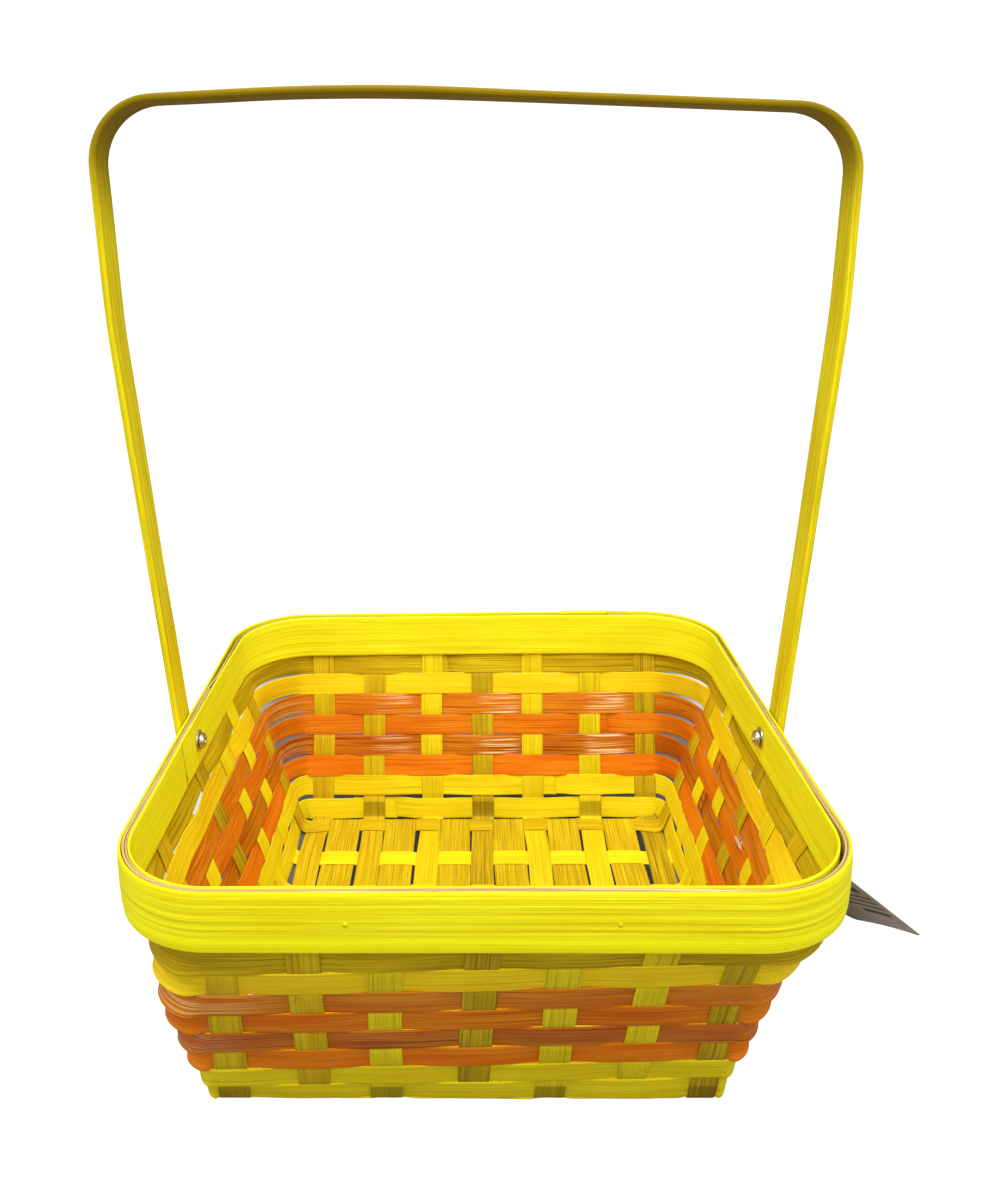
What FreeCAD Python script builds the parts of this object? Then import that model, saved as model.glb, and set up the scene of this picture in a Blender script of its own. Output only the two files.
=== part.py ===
import math
import os

import FreeCAD
import Part
import Sketcher

# A square woven easter basket: twenty flat stakes and fillers woven into a base mat,
# stakes bent up through eight separate weaver hoops, a two-band rim with a filler strip,
# and one bent strip handle that swings on two rivets. The origin is the centre of the
# base on the surface it stands on: +X right, +Y back, +Z up, millimetres.

Vector = FreeCAD.Vector

DIMENSIONS = [
    ("rim_outside", 240.0, "side of the square rim, over the outer band"),
    ("rim_top_level", 103.3, "top edge of the rim bands"),
    ("rim_band_height", 21.1, "height of the rim bands"),
    ("rim_corner", 36.0, "outside corner radius of the rim"),
    ("outer_band_thick", 1.1, "outer rim band"),
    ("inner_band_thick", 0.9, "inner rim band"),
    ("band_space", 2.0, "space between the two bands"),
    ("rim_filler_thick", 1.7, "natural strip between the bands"),
    ("rim_filler_height", 7.0, "height of that strip"),
    ("rim_filler_drop", 0.2, "how far its top edge sits below the bands'"),
    ("band_joint", 0.5, "width of the cut where a band's ends meet"),
    ("band_joint_lean", 4.5, "how far that cut leans over the band's height"),
    ("outer_joint_place", 70.0, "X of the outer band's cut, in the back wall"),
    ("inner_joint_place", -22.0, "Y of the inner band's cut, in the left wall"),
    ("filler_joint_place", 30.0, "Y of the natural strip's cut, in the left wall"),
    ("base_half", 91.3, "half width of the walls' middle surface at the floor"),
    ("wall_top_level", 82.0, "where the sloping wall ends and the rim begins"),
    ("strip_thick", 0.6, "thickness of every woven strip"),
    ("weave_clear", 0.12, "play between crossing strips"),
    ("weaver_rows", 8, "hoops in the wall"),
    ("weaver_pitch", 10.1, "from one hoop to the next"),
    ("weaver_width", 9.3, "width of a hoop's strip"),
    ("weaver_bottom", 1.6, "bottom edge of the lowest hoop"),
    ("weaver_lap", 11.0, "how far a lapped end runs past its stake's middle"),
    ("lap_lead", 2.0, "how much earlier the lap's outer end lifts"),
    ("crossing_flat", 0.5, "how far a hoop stays flat past a stake's edge"),
    ("stakes_each_way", 7, "stakes in each direction"),
    ("stake_pitch", 27.7, "from one stake to the next"),
    ("stake_width", 11.0, "width of a stake"),
    ("stake_end_level", 95.4, "where the stakes end between the rim bands"),
    ("stake_tuck_rise", 1.2, "above the wall's top, where a stake turns upright"),
    ("base_filler_width", 14.0, "width of a strip that only fills the base"),
    ("base_filler_half", 90.0, "half length of such a strip"),
    ("handle_thick", 2.9, "handle strip, thickness"),
    ("handle_wide", 15.0, "handle strip, width"),
    ("handle_gap", 0.4, "play between the handle's foot and the outer band"),
    ("handle_foot_level", 82.5, "lower end of the handle's legs"),
    ("handle_bow_level", 97.0, "where the legs start to lean out"),
    ("handle_shoulder_level", 262.0, "where the legs turn upright again"),
    ("handle_spread", 13.4, "how far the legs lean out from foot to top"),
    ("handle_last_lean", 1.2, "how much of that comes above the shoulder"),
    ("handle_foot_bend", 50.0, "bend radius where the legs start to lean"),
    ("handle_leg_bow", 400.0, "bend radius at the shoulders"),
    ("handle_bar_bow", 900.0, "bend radius at the crown"),
    ("handle_left_level", 341.1, "middle of the strip at the left corner"),
    ("handle_crown_level", 343.9, "middle of the strip at its highest"),
    ("handle_crown_place", -45.0, "where along the bar it is highest"),
    ("handle_right_level", 334.4, "middle of the strip at the right corner"),
    ("handle_corner", 23.0, "bend radius of the corners, at mid thickness"),
    ("pivot_level", 92.7, "height of the handle's rivets"),
    ("hole_fit", 0.05, "radial room in a fixed pin's hole"),
    ("rivet_shank_radius", 1.7, "rivet shank"),
    ("rivet_fit", 0.06, "radial play in the handle, which turns on the shank"),
    ("rivet_head_radius", 4.3, "rivet head"),
    ("rivet_head_height", 1.7, "rivet head"),
    ("rivet_head_gap", 0.3, "play between the head and the handle"),
    ("rivet_head_edge", 0.5, "drop of the head's rounded edge"),
    ("rivet_roll_radius", 2.9, "rolled inner end"),
    ("rivet_roll_height", 1.1, "rolled inner end"),
    ("rivet_roll_bevel", 0.3, "bevel of the rolled end"),
    ("rivet_hollow_radius", 1.0, "hollow in the inner end"),
    ("rivet_hollow_depth", 4.0, "depth of that hollow"),
    ("washer_radius", 4.6, "washer under the rolled end"),
    ("washer_thick", 0.6, "washer under the rolled end"),
    ("brad_place", 41.55, "rim brads, from the middle of each side"),
    ("brad_shank_radius", 0.45, "rim brad"),
    ("brad_head_radius", 0.95, "rim brad"),
    ("brad_head_thick", 0.35, "rim brad"),
    ("brad_tail", 0.5, "how far a brad comes through the inner band"),
    ("tag_wide", 41.7, "hang tag"),
    ("tag_long", 72.0, "hang tag"),
    ("tag_thick", 0.6, "hang tag"),
    ("tag_corner", 4.0, "hang tag's corner radius"),
    ("tag_hole_radius", 1.6, "hang tag's hole"),
    ("tag_hole_inset", 4.5, "from the tag's top edge to the hole"),
    ("tag_foot_across", 180.1, "X of the tag's lower right corner"),
    ("tag_foot_back", -25.0, "Y of the tag's lower right corner"),
    ("tag_foot_level", 17.4, "Z of the tag's lower right corner"),
    ("tag_turn", 113.45, "turn of the tag about the upright"),
    ("tag_pitch", 23.83, "tilt of the tag along its width"),
    ("tag_lean", 44.46, "lean of the tag along its length"),
    ("tag_ring_radius", 5.0, "loop that the tag hangs on"),
    ("tag_wire_radius", 0.35, "wire of that loop and of its stem"),
    ("tag_stem_end", 106.3, "X where the stem ends inside the wall"),
    ("tag_bar_long", 8.0, "cross bar that keeps the stem in"),
    ("tag_bar_radius", 0.6, "cross bar"),
]

CORNER_STEPS = 6


def make_sheet(doc):
    sheet = doc.addObject("Spreadsheet::Sheet", "dims")
    for row, (alias, number, note) in enumerate(DIMENSIONS, start=1):
        sheet.set(f"A{row}", alias)
        sheet.set(f"B{row}", repr(number))
        sheet.set(f"C{row}", note)
        sheet.setAlias(f"B{row}", alias)
    doc.recompute()
    return sheet


doc = FreeCAD.newDocument("easter_basket")
sheet = make_sheet(doc)
bodies = []


def size(alias):
    return float(sheet.get(alias))


# ---------------------------------------------------------------- document helpers

def new_body(name):
    body = doc.addObject("PartDesign::Body", name)
    body.Label = name
    bodies.append(body)
    return body


def new_sketch(body, name, role, offset=None):
    plane = next(item for item in body.Origin.OriginFeatures if item.Role == role)
    sketch = body.newObject("Sketcher::SketchObject", f"{body.Label}_{name}")
    sketch.AttachmentSupport = [(plane, "")]
    sketch.MapMode = "FlatFace"
    for axis, rule in (offset or {}).items():
        sketch.setExpression(f"AttachmentOffset.Base.{axis}", rule)
    return sketch


def draw_polygon(sketch, points):
    flat = [Vector(u, v, 0) for u, v in points]
    lines = [Part.LineSegment(p, q) for p, q in zip(flat, flat[1:] + flat[:1])]
    sketch.addGeometry(lines, False)


def draw_circle(sketch, u, v, radius_rule):
    index = sketch.addGeometry(Part.Circle(Vector(u, v, 0), Vector(0, 0, 1), 1.0), False)
    name = f"radius_{index}"
    radius = sketch.addConstraint(Sketcher.Constraint("Radius", index, 1.0))
    sketch.renameConstraint(radius, name)
    sketch.setExpression(f"Constraints.{name}", radius_rule)


def add_pad(body, sketch, length_rule, both_ways=False):
    pad = body.newObject("PartDesign::Pad", f"{body.Label}_pad_{sketch.Name}")
    pad.Profile = sketch
    pad.setExpression("Length", length_rule)
    if both_ways:
        pad.SideType = "Symmetric"
    return pad


def cut_through(body, sketch):
    doc.recompute()
    before = body.Shape.Volume
    pocket = body.newObject("PartDesign::Pocket", f"{body.Label}_cut_{sketch.Name}")
    pocket.Profile = sketch
    pocket.SideType = "Symmetric"
    pocket.Type = "ThroughAll"
    doc.recompute()
    if body.Shape.Volume >= before:
        raise RuntimeError(f"{pocket.Name} cuts nothing")
    return pocket


def rounded_path(points, radii):
    """Lines through the points, with a tangent arc of the given radius at each inner one."""
    flat = [Vector(u, v, 0) for u, v in points]
    pieces = []
    start = flat[0]
    for before, corner, after, radius in zip(flat, flat[1:], flat[2:], radii):
        back = (before - corner).normalize()
        ahead = (after - corner).normalize()
        half_angle = back.getAngle(ahead) / 2
        reach = radius / math.tan(half_angle)
        middle = (back + ahead).normalize()
        top = corner + middle * (radius / math.sin(half_angle) - radius)
        first = corner + back * reach
        last = corner + ahead * reach
        pieces.append(Part.LineSegment(start, first))
        pieces.append(Part.Arc(first, top, last))
        start = last
    pieces.append(Part.LineSegment(start, flat[-1]))
    return pieces


def draw_rounded_square(sketch, half, radius):
    """A closed square outline with round corners, as four lines and four arcs."""
    middle = half - radius
    for turn in range(4):
        spin = FreeCAD.Rotation(Vector(0, 0, 1), 90 * turn)
        line = [spin.multVec(Vector(half, v, 0)) for v in (-middle, middle)]
        diagonal = middle + radius * math.sqrt(0.5)
        arc = [(half, middle), (diagonal, diagonal), (middle, half)]
        sketch.addGeometry(Part.LineSegment(*line), False)
        sketch.addGeometry(Part.Arc(*[spin.multVec(Vector(u, v, 0)) for u, v in arc]), False)


def offset_line(points, distance):
    """The polyline moved sideways by distance, to its left, with mitred corners."""
    flat = [Vector(u, v, 0) for u, v in points]
    up = Vector(0, 0, 1)
    normals = [up.cross(q - p).normalize() for p, q in zip(flat, flat[1:])]
    moved = []
    for point, first, last in zip(flat, normals[:1] + normals, normals + normals[-1:]):
        moved.append(point + (first + last) * (distance / (1 + first.dot(last))))
    return [(point.x, point.y) for point in moved]


def strip_outline(path, thick):
    """The closed outline of a strip of even thickness that follows a polyline."""
    return offset_line(path, thick / 2) + offset_line(path, -thick / 2)[::-1]


# ---------------------------------------------------------------- the weave's own geometry

THICK = size("strip_thick")
LAYER = THICK + size("weave_clear")
MAT_MIDDLE = THICK + size("weave_clear") / 2
PITCH = size("stake_pitch")
STAKE_HALF = size("stake_width") / 2
STAKES = int(size("stakes_each_way"))
ROWS = int(size("weaver_rows"))
RIM_MIDDLE = size("rim_outside") / 2 - size("outer_band_thick") - size("band_space") / 2
WALL_SLOPE = (RIM_MIDDLE - size("base_half")) / size("wall_top_level")
WALL_ANGLE = math.atan(WALL_SLOPE)


def wall_half(level):
    return size("base_half") + WALL_SLOPE * level


def row_bottom(row):
    return size("weaver_bottom") + size("weaver_pitch") * (ROWS - row)


def stake_centre(number):
    return PITCH * (number - (STAKES + 1) / 2)


def stake_side(wall_is_front_or_back, number, row):
    """+1 where the stake passes outside that row's hoop, -1 where it passes inside."""
    even = (number + row) % 2 == 0
    outside = not even if wall_is_front_or_back else even
    return 1 if outside else -1


def wall_point(level, side):
    """A point of the sloping wall's section, half a layer outside or inside its middle."""
    shift = side * LAYER / 2
    return (wall_half(level) + shift * math.cos(WALL_ANGLE), level - shift * math.sin(WALL_ANGLE))


def mat_path(crossings):
    """Half of a strip's path in the base, from (centre, half width, +1 over or -1 under)."""
    path = []
    for centre, half, over in crossings:
        level = MAT_MIDDLE + over * LAYER / 2
        path += [(centre - half, level), (centre + half, level)]
    return [(along, level) for along, level in path if along > 0]


def mirrored(half_path):
    return [(-along, level) for along, level in reversed(half_path)] + half_path


def stake_path(crossings, sides):
    """A stake's whole path: up one wall, across the base and up the other wall."""
    half = mat_path(crossings)
    floor_level = half[-1][1]
    shift = sides[-1] * LAYER / 2
    rise = (floor_level + math.sin(WALL_ANGLE) * shift) / math.cos(WALL_ANGLE)
    turn = wall_half(0) + math.cos(WALL_ANGLE) * shift + math.sin(WALL_ANGLE) * rise
    half.append((turn, floor_level))
    for row in range(ROWS, 0, -1):
        low = row_bottom(row)
        half.append(wall_point(low, sides[row - 1]))
        half.append(wall_point(low + size("weaver_width"), sides[row - 1]))
    half.append((RIM_MIDDLE, size("wall_top_level") + size("stake_tuck_rise")))
    half.append((RIM_MIDDLE, size("stake_end_level")))
    return mirrored(half)


def make_stake(name, number, front_to_back):
    body = new_body(name)
    if front_to_back:
        crossings = [(PITCH * k, STAKE_HALF, 1 if k % 2 == 0 else -1) for k in range(4)]
    else:
        over = 1 if (number + (STAKES + 1) // 2) % 2 else -1
        filler_half = size("base_filler_width") / 2
        crossings = []
        for k in range(4):
            crossings.append((PITCH * k, STAKE_HALF, over))
            crossings.append((PITCH * (k + 0.5), filler_half, -over))
        crossings.pop()
    sides = [stake_side(front_to_back, number, row) for row in range(1, ROWS + 1)]
    role = "YZ_Plane" if front_to_back else "XZ_Plane"
    sketch = new_sketch(body, "section", role)
    draw_polygon(sketch, strip_outline(stake_path(crossings, sides), THICK))
    add_pad(body, sketch, "dims.stake_width", both_ways=True)
    axis = "x" if front_to_back else "y"
    rule = f"dims.stake_pitch * ({number} - (dims.stakes_each_way + 1) / 2)"
    body.setExpression(f"Placement.Base.{axis}", rule)
    return body


def make_base_filler(number):
    """A strip that only crosses the base, between two front-to-back stakes."""
    body = new_body(f"base_filler_{number}")
    crossings = [(PITCH * k, STAKE_HALF, 1 if k % 2 else -1) for k in range(4)]
    half = mat_path(crossings)
    half[-1] = (size("base_filler_half"), half[-1][1])
    sketch = new_sketch(body, "section", "YZ_Plane")
    draw_polygon(sketch, strip_outline(mirrored(half), THICK))
    add_pad(body, sketch, "dims.base_filler_width", both_ways=True)
    body.setExpression("Placement.Base.x", f"dims.stake_pitch * ({number} - dims.stakes_each_way / 2)")
    return body


# Each hoop's ends lap at one stake: wall 0 front, 1 right, 2 back, 3 left, and its stake.
LAPS = {1: (2, 5), 2: (3, 3), 3: (1, 6), 4: (2, 2), 5: (1, 6), 6: (3, 5), 7: (2, 3), 8: (2, 6)}


def hoop_points(row, level):
    """The hoop's outline at one level: outer line forwards, inner line back."""
    half = wall_half(level)
    spread = 1 / math.cos(WALL_ANGLE)
    plateau = STAKE_HALF + size("crossing_flat")
    straight_end = stake_centre(STAKES) + plateau
    lap_wall, lap_stake = LAPS[row]
    first = lap_wall * STAKES + lap_stake - 1
    count = 4 * STAKES
    stations = []
    for step in range(count + 1):
        wall, index = divmod((first + step) % count, STAKES)
        number = index + 1 if wall < 2 else STAKES - index
        side = -stake_side(wall % 2 == 0, number, row)
        centre = PITCH * (index - (STAKES - 1) / 2)
        start = centre - plateau
        end = centre + plateau
        shift = side * LAYER / 2
        if step == 0:
            start = centre - size("weaver_lap")
        if step == count:
            start = centre - size("weaver_lap") - size("lap_lead")
            end = centre + size("weaver_lap")
            shift = side * LAYER * 1.5
        if index == 0 and stations:
            before = stations[-1][2]
            for part in range(1, CORNER_STEPS):
                share = part / CORNER_STEPS
                stations.append((wall, -90 + 90 * share, before + (shift - before) * share, True))
        stations += [(wall, start, shift, False), (wall, end, shift, False)]
    lines = []
    for face in (THICK / 2, -THICK / 2):
        line = []
        for wall, place, shift, is_corner in stations:
            out = half + (shift + face) * spread
            if is_corner:
                angle = math.radians(place)
                radius = out - straight_end
                point = Vector(-straight_end + radius * math.sin(angle),
                               -straight_end - radius * math.cos(angle), 0)
            else:
                point = Vector(place, -out, 0)
            spun = FreeCAD.Rotation(Vector(0, 0, 1), 90 * wall).multVec(point)
            line.append((spun.x, spun.y))
        lines.append(line)
    return lines[0] + lines[1][::-1]


def make_weaver(row):
    body = new_body(f"weaver_row_{row}")
    low_rule = f"dims.weaver_bottom + dims.weaver_pitch * (dims.weaver_rows - {row})"
    low_sketch = new_sketch(body, "lower_edge", "XY_Plane", {"z": low_rule})
    draw_polygon(low_sketch, hoop_points(row, row_bottom(row)))
    high_sketch = new_sketch(body, "upper_edge", "XY_Plane", {"z": f"{low_rule} + dims.weaver_width"})
    draw_polygon(high_sketch, hoop_points(row, row_bottom(row) + size("weaver_width")))
    loft = body.newObject("PartDesign::AdditiveLoft", f"{body.Label}_loft")
    loft.Profile = low_sketch
    loft.Sections = [high_sketch]
    loft.Ruled = True
    return body


# ---------------------------------------------------------------- rim

def make_ring(name, outside_half, thick, corner, bottom_rule, height_rule, joint_place):
    """A square ring with round corners, cut through once where the strip's ends meet."""
    body = new_body(name)
    sketch = new_sketch(body, "plan", "XY_Plane", {"z": bottom_rule})
    draw_rounded_square(sketch, outside_half, corner)
    draw_rounded_square(sketch, outside_half - thick, corner - thick)
    add_pad(body, sketch, height_rule)
    wall, place = joint_place
    plane = "XZ_Plane" if wall == "back" else "YZ_Plane"
    joint = new_sketch(body, "joint", plane)
    beyond = 1.0
    bottom = size("rim_top_level") - size("rim_band_height") - beyond
    top = size("rim_top_level") + beyond
    lean = size("band_joint_lean") / 2
    width = size("band_joint") / 2
    draw_polygon(joint, [(place - lean - width, bottom), (place - lean + width, bottom),
                         (place + lean + width, top), (place + lean - width, top)])
    doc.recompute()
    before = body.Shape.Volume
    pocket = body.newObject("PartDesign::Pocket", f"{name}_joint_cut")
    pocket.Profile = joint
    pocket.Type = "ThroughAll"
    pocket.Reversed = wall == "left"
    doc.recompute()
    if body.Shape.Volume >= before:
        raise RuntimeError(f"{name}: the joint's cut misses the ring")
    return body


def drill_sides(body, radius_rule, front_and_back=False):
    """Round holes through the left and right walls, and the brads' through all four."""
    sketch = new_sketch(body, f"rivet_holes_{len(body.Group)}", "YZ_Plane")
    draw_circle(sketch, 0, size("pivot_level"), radius_rule)
    if front_and_back:
        for place in (-size("brad_place"), size("brad_place")):
            draw_circle(sketch, place, size("pivot_level"), "dims.brad_shank_radius + dims.hole_fit")
    cut_through(body, sketch)
    if front_and_back:
        sketch = new_sketch(body, "brad_holes", "XZ_Plane")
        for place in (-size("brad_place"), size("brad_place")):
            draw_circle(sketch, place, size("pivot_level"), "dims.brad_shank_radius + dims.hole_fit")
        cut_through(body, sketch)


def make_rim():
    half = size("rim_outside") / 2
    corner = size("rim_corner")
    space = size("band_space")
    outer = size("outer_band_thick")
    band_bottom = "dims.rim_top_level - dims.rim_band_height"
    outer_band = make_ring("rim_outer_band", half, outer, corner,
                           band_bottom, "dims.rim_band_height", ("back", size("outer_joint_place")))
    inward = outer + space
    inner_band = make_ring("rim_inner_band", half - inward, size("inner_band_thick"),
                           corner - inward, band_bottom, "dims.rim_band_height",
                           ("left", size("inner_joint_place")))
    for band in (outer_band, inner_band):
        drill_sides(band, "dims.rivet_shank_radius + dims.hole_fit", front_and_back=True)
    play = (space - size("rim_filler_thick")) / 2
    make_ring("rim_filler", half - outer - play, size("rim_filler_thick"), corner - outer - play,
              "dims.rim_top_level - dims.rim_filler_drop - dims.rim_filler_height",
              "dims.rim_filler_height", ("left", size("filler_joint_place")))


# ---------------------------------------------------------------- handle and its rivets

def make_handle():
    body = new_body("handle")
    foot = size("rim_outside") / 2 + size("handle_gap") + size("handle_thick") / 2
    spread = foot + size("handle_spread")
    nearly = spread - size("handle_last_lean")
    points = [
        (-foot, size("handle_foot_level")),
        (-foot, size("handle_bow_level")),
        (-nearly, size("handle_shoulder_level")),
        (-spread, size("handle_left_level")),
        (size("handle_crown_place"), size("handle_crown_level")),
        (spread, size("handle_right_level")),
        (nearly, size("handle_shoulder_level")),
        (foot, size("handle_bow_level")),
        (foot, size("handle_foot_level")),
    ]
    half_bends = [size("handle_foot_bend"), size("handle_leg_bow"), size("handle_corner")]
    bends = half_bends + [size("handle_bar_bow")] + half_bends[::-1]
    path = new_sketch(body, "middle_line", "XZ_Plane")
    path.addGeometry(rounded_path(points, bends), False)
    profile = new_sketch(body, "strip_section", "XY_Plane", {"z": "dims.handle_foot_level"})
    thick = size("handle_thick") / 2
    wide = size("handle_wide") / 2
    draw_polygon(profile, [(-foot - thick, -wide), (-foot + thick, -wide),
                           (-foot + thick, wide), (-foot - thick, wide)])
    pipe = body.newObject("PartDesign::AdditivePipe", "handle_strip")
    pipe.Profile = profile
    pipe.Spine = path
    drill_sides(body, "dims.rivet_shank_radius + dims.rivet_fit")
    return body


def make_rivet(name, sign):
    """Domed outer head, shank through handle and rim, rolled hollow end over a washer."""
    body = new_body(name)
    handle_face = size("rim_outside") / 2 + size("handle_gap") + size("handle_thick")
    head = handle_face + size("rivet_head_gap")
    inner_face = (size("rim_outside") / 2 - size("outer_band_thick") - size("band_space")
                  - size("inner_band_thick"))
    washer_face = inner_face - size("washer_thick")
    end = washer_face - size("rivet_roll_height")
    top = head + size("rivet_head_height")
    shank = size("rivet_shank_radius")
    hollow = size("rivet_hollow_radius")
    shoulder_share = 0.8
    crown_share = 0.4
    outline = [
        (end, hollow), (end, shank), (end + size("rivet_roll_bevel"), size("rivet_roll_radius")),
        (washer_face, size("rivet_roll_radius")), (washer_face, shank), (head, shank),
        (head, size("rivet_head_radius")),
        (top - size("rivet_head_edge"), size("rivet_head_radius") * shoulder_share),
        (top, size("rivet_head_radius") * crown_share), (top, 0.0),
        (end + size("rivet_hollow_depth"), 0.0), (end + size("rivet_hollow_depth"), hollow),
    ]
    sketch = new_sketch(body, "half_section", "XZ_Plane", {"y": "dims.pivot_level"})
    draw_polygon(sketch, [(sign * along, radius) for along, radius in outline])
    turned = body.newObject("PartDesign::Revolution", f"{name}_turned")
    turned.Profile = sketch
    turned.ReferenceAxis = (sketch, ["H_Axis"])
    turned.Angle = 360
    return body


def add_cylinder(name, radius_rule, height_rule, direction):
    cylinder = doc.addObject("Part::Cylinder", name)
    cylinder.setExpression("Radius", radius_rule)
    cylinder.setExpression("Height", height_rule)
    cylinder.Placement.Rotation = FreeCAD.Rotation(Vector(0, 0, 1), Vector(*direction))
    return cylinder


def make_washer(name, sign):
    disc = add_cylinder(f"{name}_disc", "dims.washer_radius", "dims.washer_thick", (sign, 0, 0))
    hole = add_cylinder(f"{name}_hole", "dims.rivet_shank_radius + dims.hole_fit", "dims.washer_thick",
                        (sign, 0, 0))
    washer = doc.addObject("Part::Cut", name)
    washer.Base = disc
    washer.Tool = hole
    washer.Label = name
    face = "dims.rim_outside / 2 - dims.outer_band_thick - dims.band_space - dims.inner_band_thick"
    washer.setExpression("Placement.Base.x", f"{sign} * ({face} - dims.washer_thick)")
    washer.setExpression("Placement.Base.z", "dims.pivot_level")
    bodies.append(washer)


def make_brads():
    """Eight small round-headed pins, two through each side of the rim."""
    half = size("rim_outside") / 2
    through = (size("outer_band_thick") + size("band_space") + size("inner_band_thick")
               + size("brad_tail"))
    pins = []
    for turn in range(4):
        for place in (-size("brad_place"), size("brad_place")):
            inward = FreeCAD.Rotation(Vector(0, 0, 1), 90 * turn)
            direction = inward.multVec(Vector(0, 1, 0))
            start = inward.multVec(Vector(place, -half, 0)) + Vector(0, 0, size("pivot_level"))
            thick = size("brad_head_thick")
            head = Part.makeCylinder(size("brad_head_radius"), thick, start - direction * thick,
                                     direction)
            shank = Part.makeCylinder(size("brad_shank_radius"), through, start, direction)
            pins.append(head.fuse(shank).removeSplitter().Solids[0])
    brads = doc.addObject("Part::Feature", "rim_brads")
    brads.Label = "rim_brads"
    brads.Shape = Part.makeCompound(pins)
    bodies.append(brads)


# ---------------------------------------------------------------- hang tag and its loop

def tag_frame():
    turn = FreeCAD.Rotation(size("tag_turn"), size("tag_pitch"), size("tag_lean"))
    foot = Vector(size("tag_foot_across"), size("tag_foot_back"), size("tag_foot_level"))
    return FreeCAD.Placement(foot, turn)


def make_tag():
    body = new_body("hang_tag")
    wide = size("tag_wide")
    long = size("tag_long")
    round_off = size("tag_corner")
    sketch = new_sketch(body, "card", "XY_Plane")
    corners = [(wide / 2, 0), (wide, 0), (wide, long), (0, long), (0, 0), (wide / 2, 0)]
    sketch.addGeometry(rounded_path(corners, [round_off] * 4), False)
    draw_circle(sketch, wide / 2, long - size("tag_hole_inset"), "dims.tag_hole_radius")
    add_pad(body, sketch, "dims.tag_thick", both_ways=True)
    body.Placement = tag_frame()


def ring_centre():
    local = Vector(size("tag_wide") / 2,
                   size("tag_long") - size("tag_hole_inset") + size("tag_ring_radius"), 0)
    return tag_frame().multVec(local)


def make_tag_loop():
    """A moulded ring through the tag's hole, a stem through the wall and a cross bar."""
    ring = doc.addObject("Part::Torus", "tag_loop_ring")
    ring.setExpression("Radius1", "dims.tag_ring_radius")
    ring.setExpression("Radius2", "dims.tag_wire_radius")
    across = tag_frame().Rotation.multVec(Vector(1, 0, 0))
    centre = ring_centre()
    ring.Placement = FreeCAD.Placement(centre, FreeCAD.Rotation(Vector(0, 0, 1), across))
    inward = tag_frame().Rotation.multVec(Vector(0, 0, -1))
    meet = centre + inward * size("tag_ring_radius")
    slit = row_bottom(4) + size("weaver_width") + (size("weaver_pitch") - size("weaver_width")) / 2
    stem = add_cylinder("tag_loop_stem", "dims.tag_wire_radius",
                        f"{meet.x} - dims.tag_stem_end", (-1, 0, 0))
    stem.Placement.Base = Vector(meet.x, meet.y, slit)
    bar = add_cylinder("tag_loop_bar", "dims.tag_bar_radius", "dims.tag_bar_long", (0, 1, 0))
    bar.Placement.Base = Vector(size("tag_stem_end"), meet.y - size("tag_bar_long") / 2, slit)
    loop = doc.addObject("Part::MultiFuse", "tag_loop")
    loop.Shapes = [ring, stem, bar]
    loop.Label = "tag_loop"
    bodies.append(loop)


# ---------------------------------------------------------------- the whole basket

for stake_number in range(1, STAKES + 1):
    make_stake(f"stake_front_back_{stake_number}", stake_number, True)
for stake_number in range(1, STAKES + 1):
    side_stake = make_stake(f"stake_left_right_{stake_number}", stake_number, False)
    if stake_number == (STAKES + 1) // 2:
        drill_sides(side_stake, "dims.rivet_shank_radius + dims.hole_fit")
for filler_number in range(1, STAKES):
    make_base_filler(filler_number)
for weaver_row in range(1, ROWS + 1):
    make_weaver(weaver_row)
make_rim()
make_handle()
for side_name, side_sign in (("left", -1), ("right", 1)):
    make_rivet(f"rivet_{side_name}", side_sign)
    make_washer(f"rivet_washer_{side_name}", side_sign)
make_brads()
make_tag()
make_tag_loop()
doc.recompute()

failed = [item.Name for item in doc.Objects if {"Invalid", "Error"} & set(item.State)]
if failed:
    raise RuntimeError(f"failed objects: {failed}")
for body in bodies:
    if body.Shape.isNull() or not body.Shape.isValid():
        raise RuntimeError(f"{body.Label} has no valid shape")

os.makedirs("parts", exist_ok=True)
for body in bodies:
    body.Shape.exportStep(f"parts/{body.Label}.step")
    print(body.Label, len(body.Shape.Solids), round(body.Shape.Volume, 1))
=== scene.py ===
import math

import bmesh
import bpy
import numpy as np
from mathutils import Matrix, Vector


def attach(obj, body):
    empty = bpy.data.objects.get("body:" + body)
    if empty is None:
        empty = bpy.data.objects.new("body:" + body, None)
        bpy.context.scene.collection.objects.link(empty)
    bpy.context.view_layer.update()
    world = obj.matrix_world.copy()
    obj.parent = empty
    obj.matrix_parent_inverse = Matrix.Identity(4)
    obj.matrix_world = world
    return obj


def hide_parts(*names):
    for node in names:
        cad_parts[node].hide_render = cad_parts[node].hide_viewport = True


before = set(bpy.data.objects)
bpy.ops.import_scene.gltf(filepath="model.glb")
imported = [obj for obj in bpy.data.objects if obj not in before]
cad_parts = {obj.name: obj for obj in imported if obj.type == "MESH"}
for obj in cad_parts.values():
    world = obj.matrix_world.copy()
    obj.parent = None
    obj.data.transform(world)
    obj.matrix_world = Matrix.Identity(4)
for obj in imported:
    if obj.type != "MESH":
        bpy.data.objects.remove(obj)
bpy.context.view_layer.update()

# A square easter basket woven from dyed split bamboo. The file follows the making: camera and
# studio, base and stakes, hoops, rim, pins, handle with its rivets, hang tag.
# Sizes are in millimetres and turn into metres when a mesh is made.

# ---------------------------------------------------------------- camera
# Stands in front of the basket at eye height over a table and looks down into it.

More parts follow.
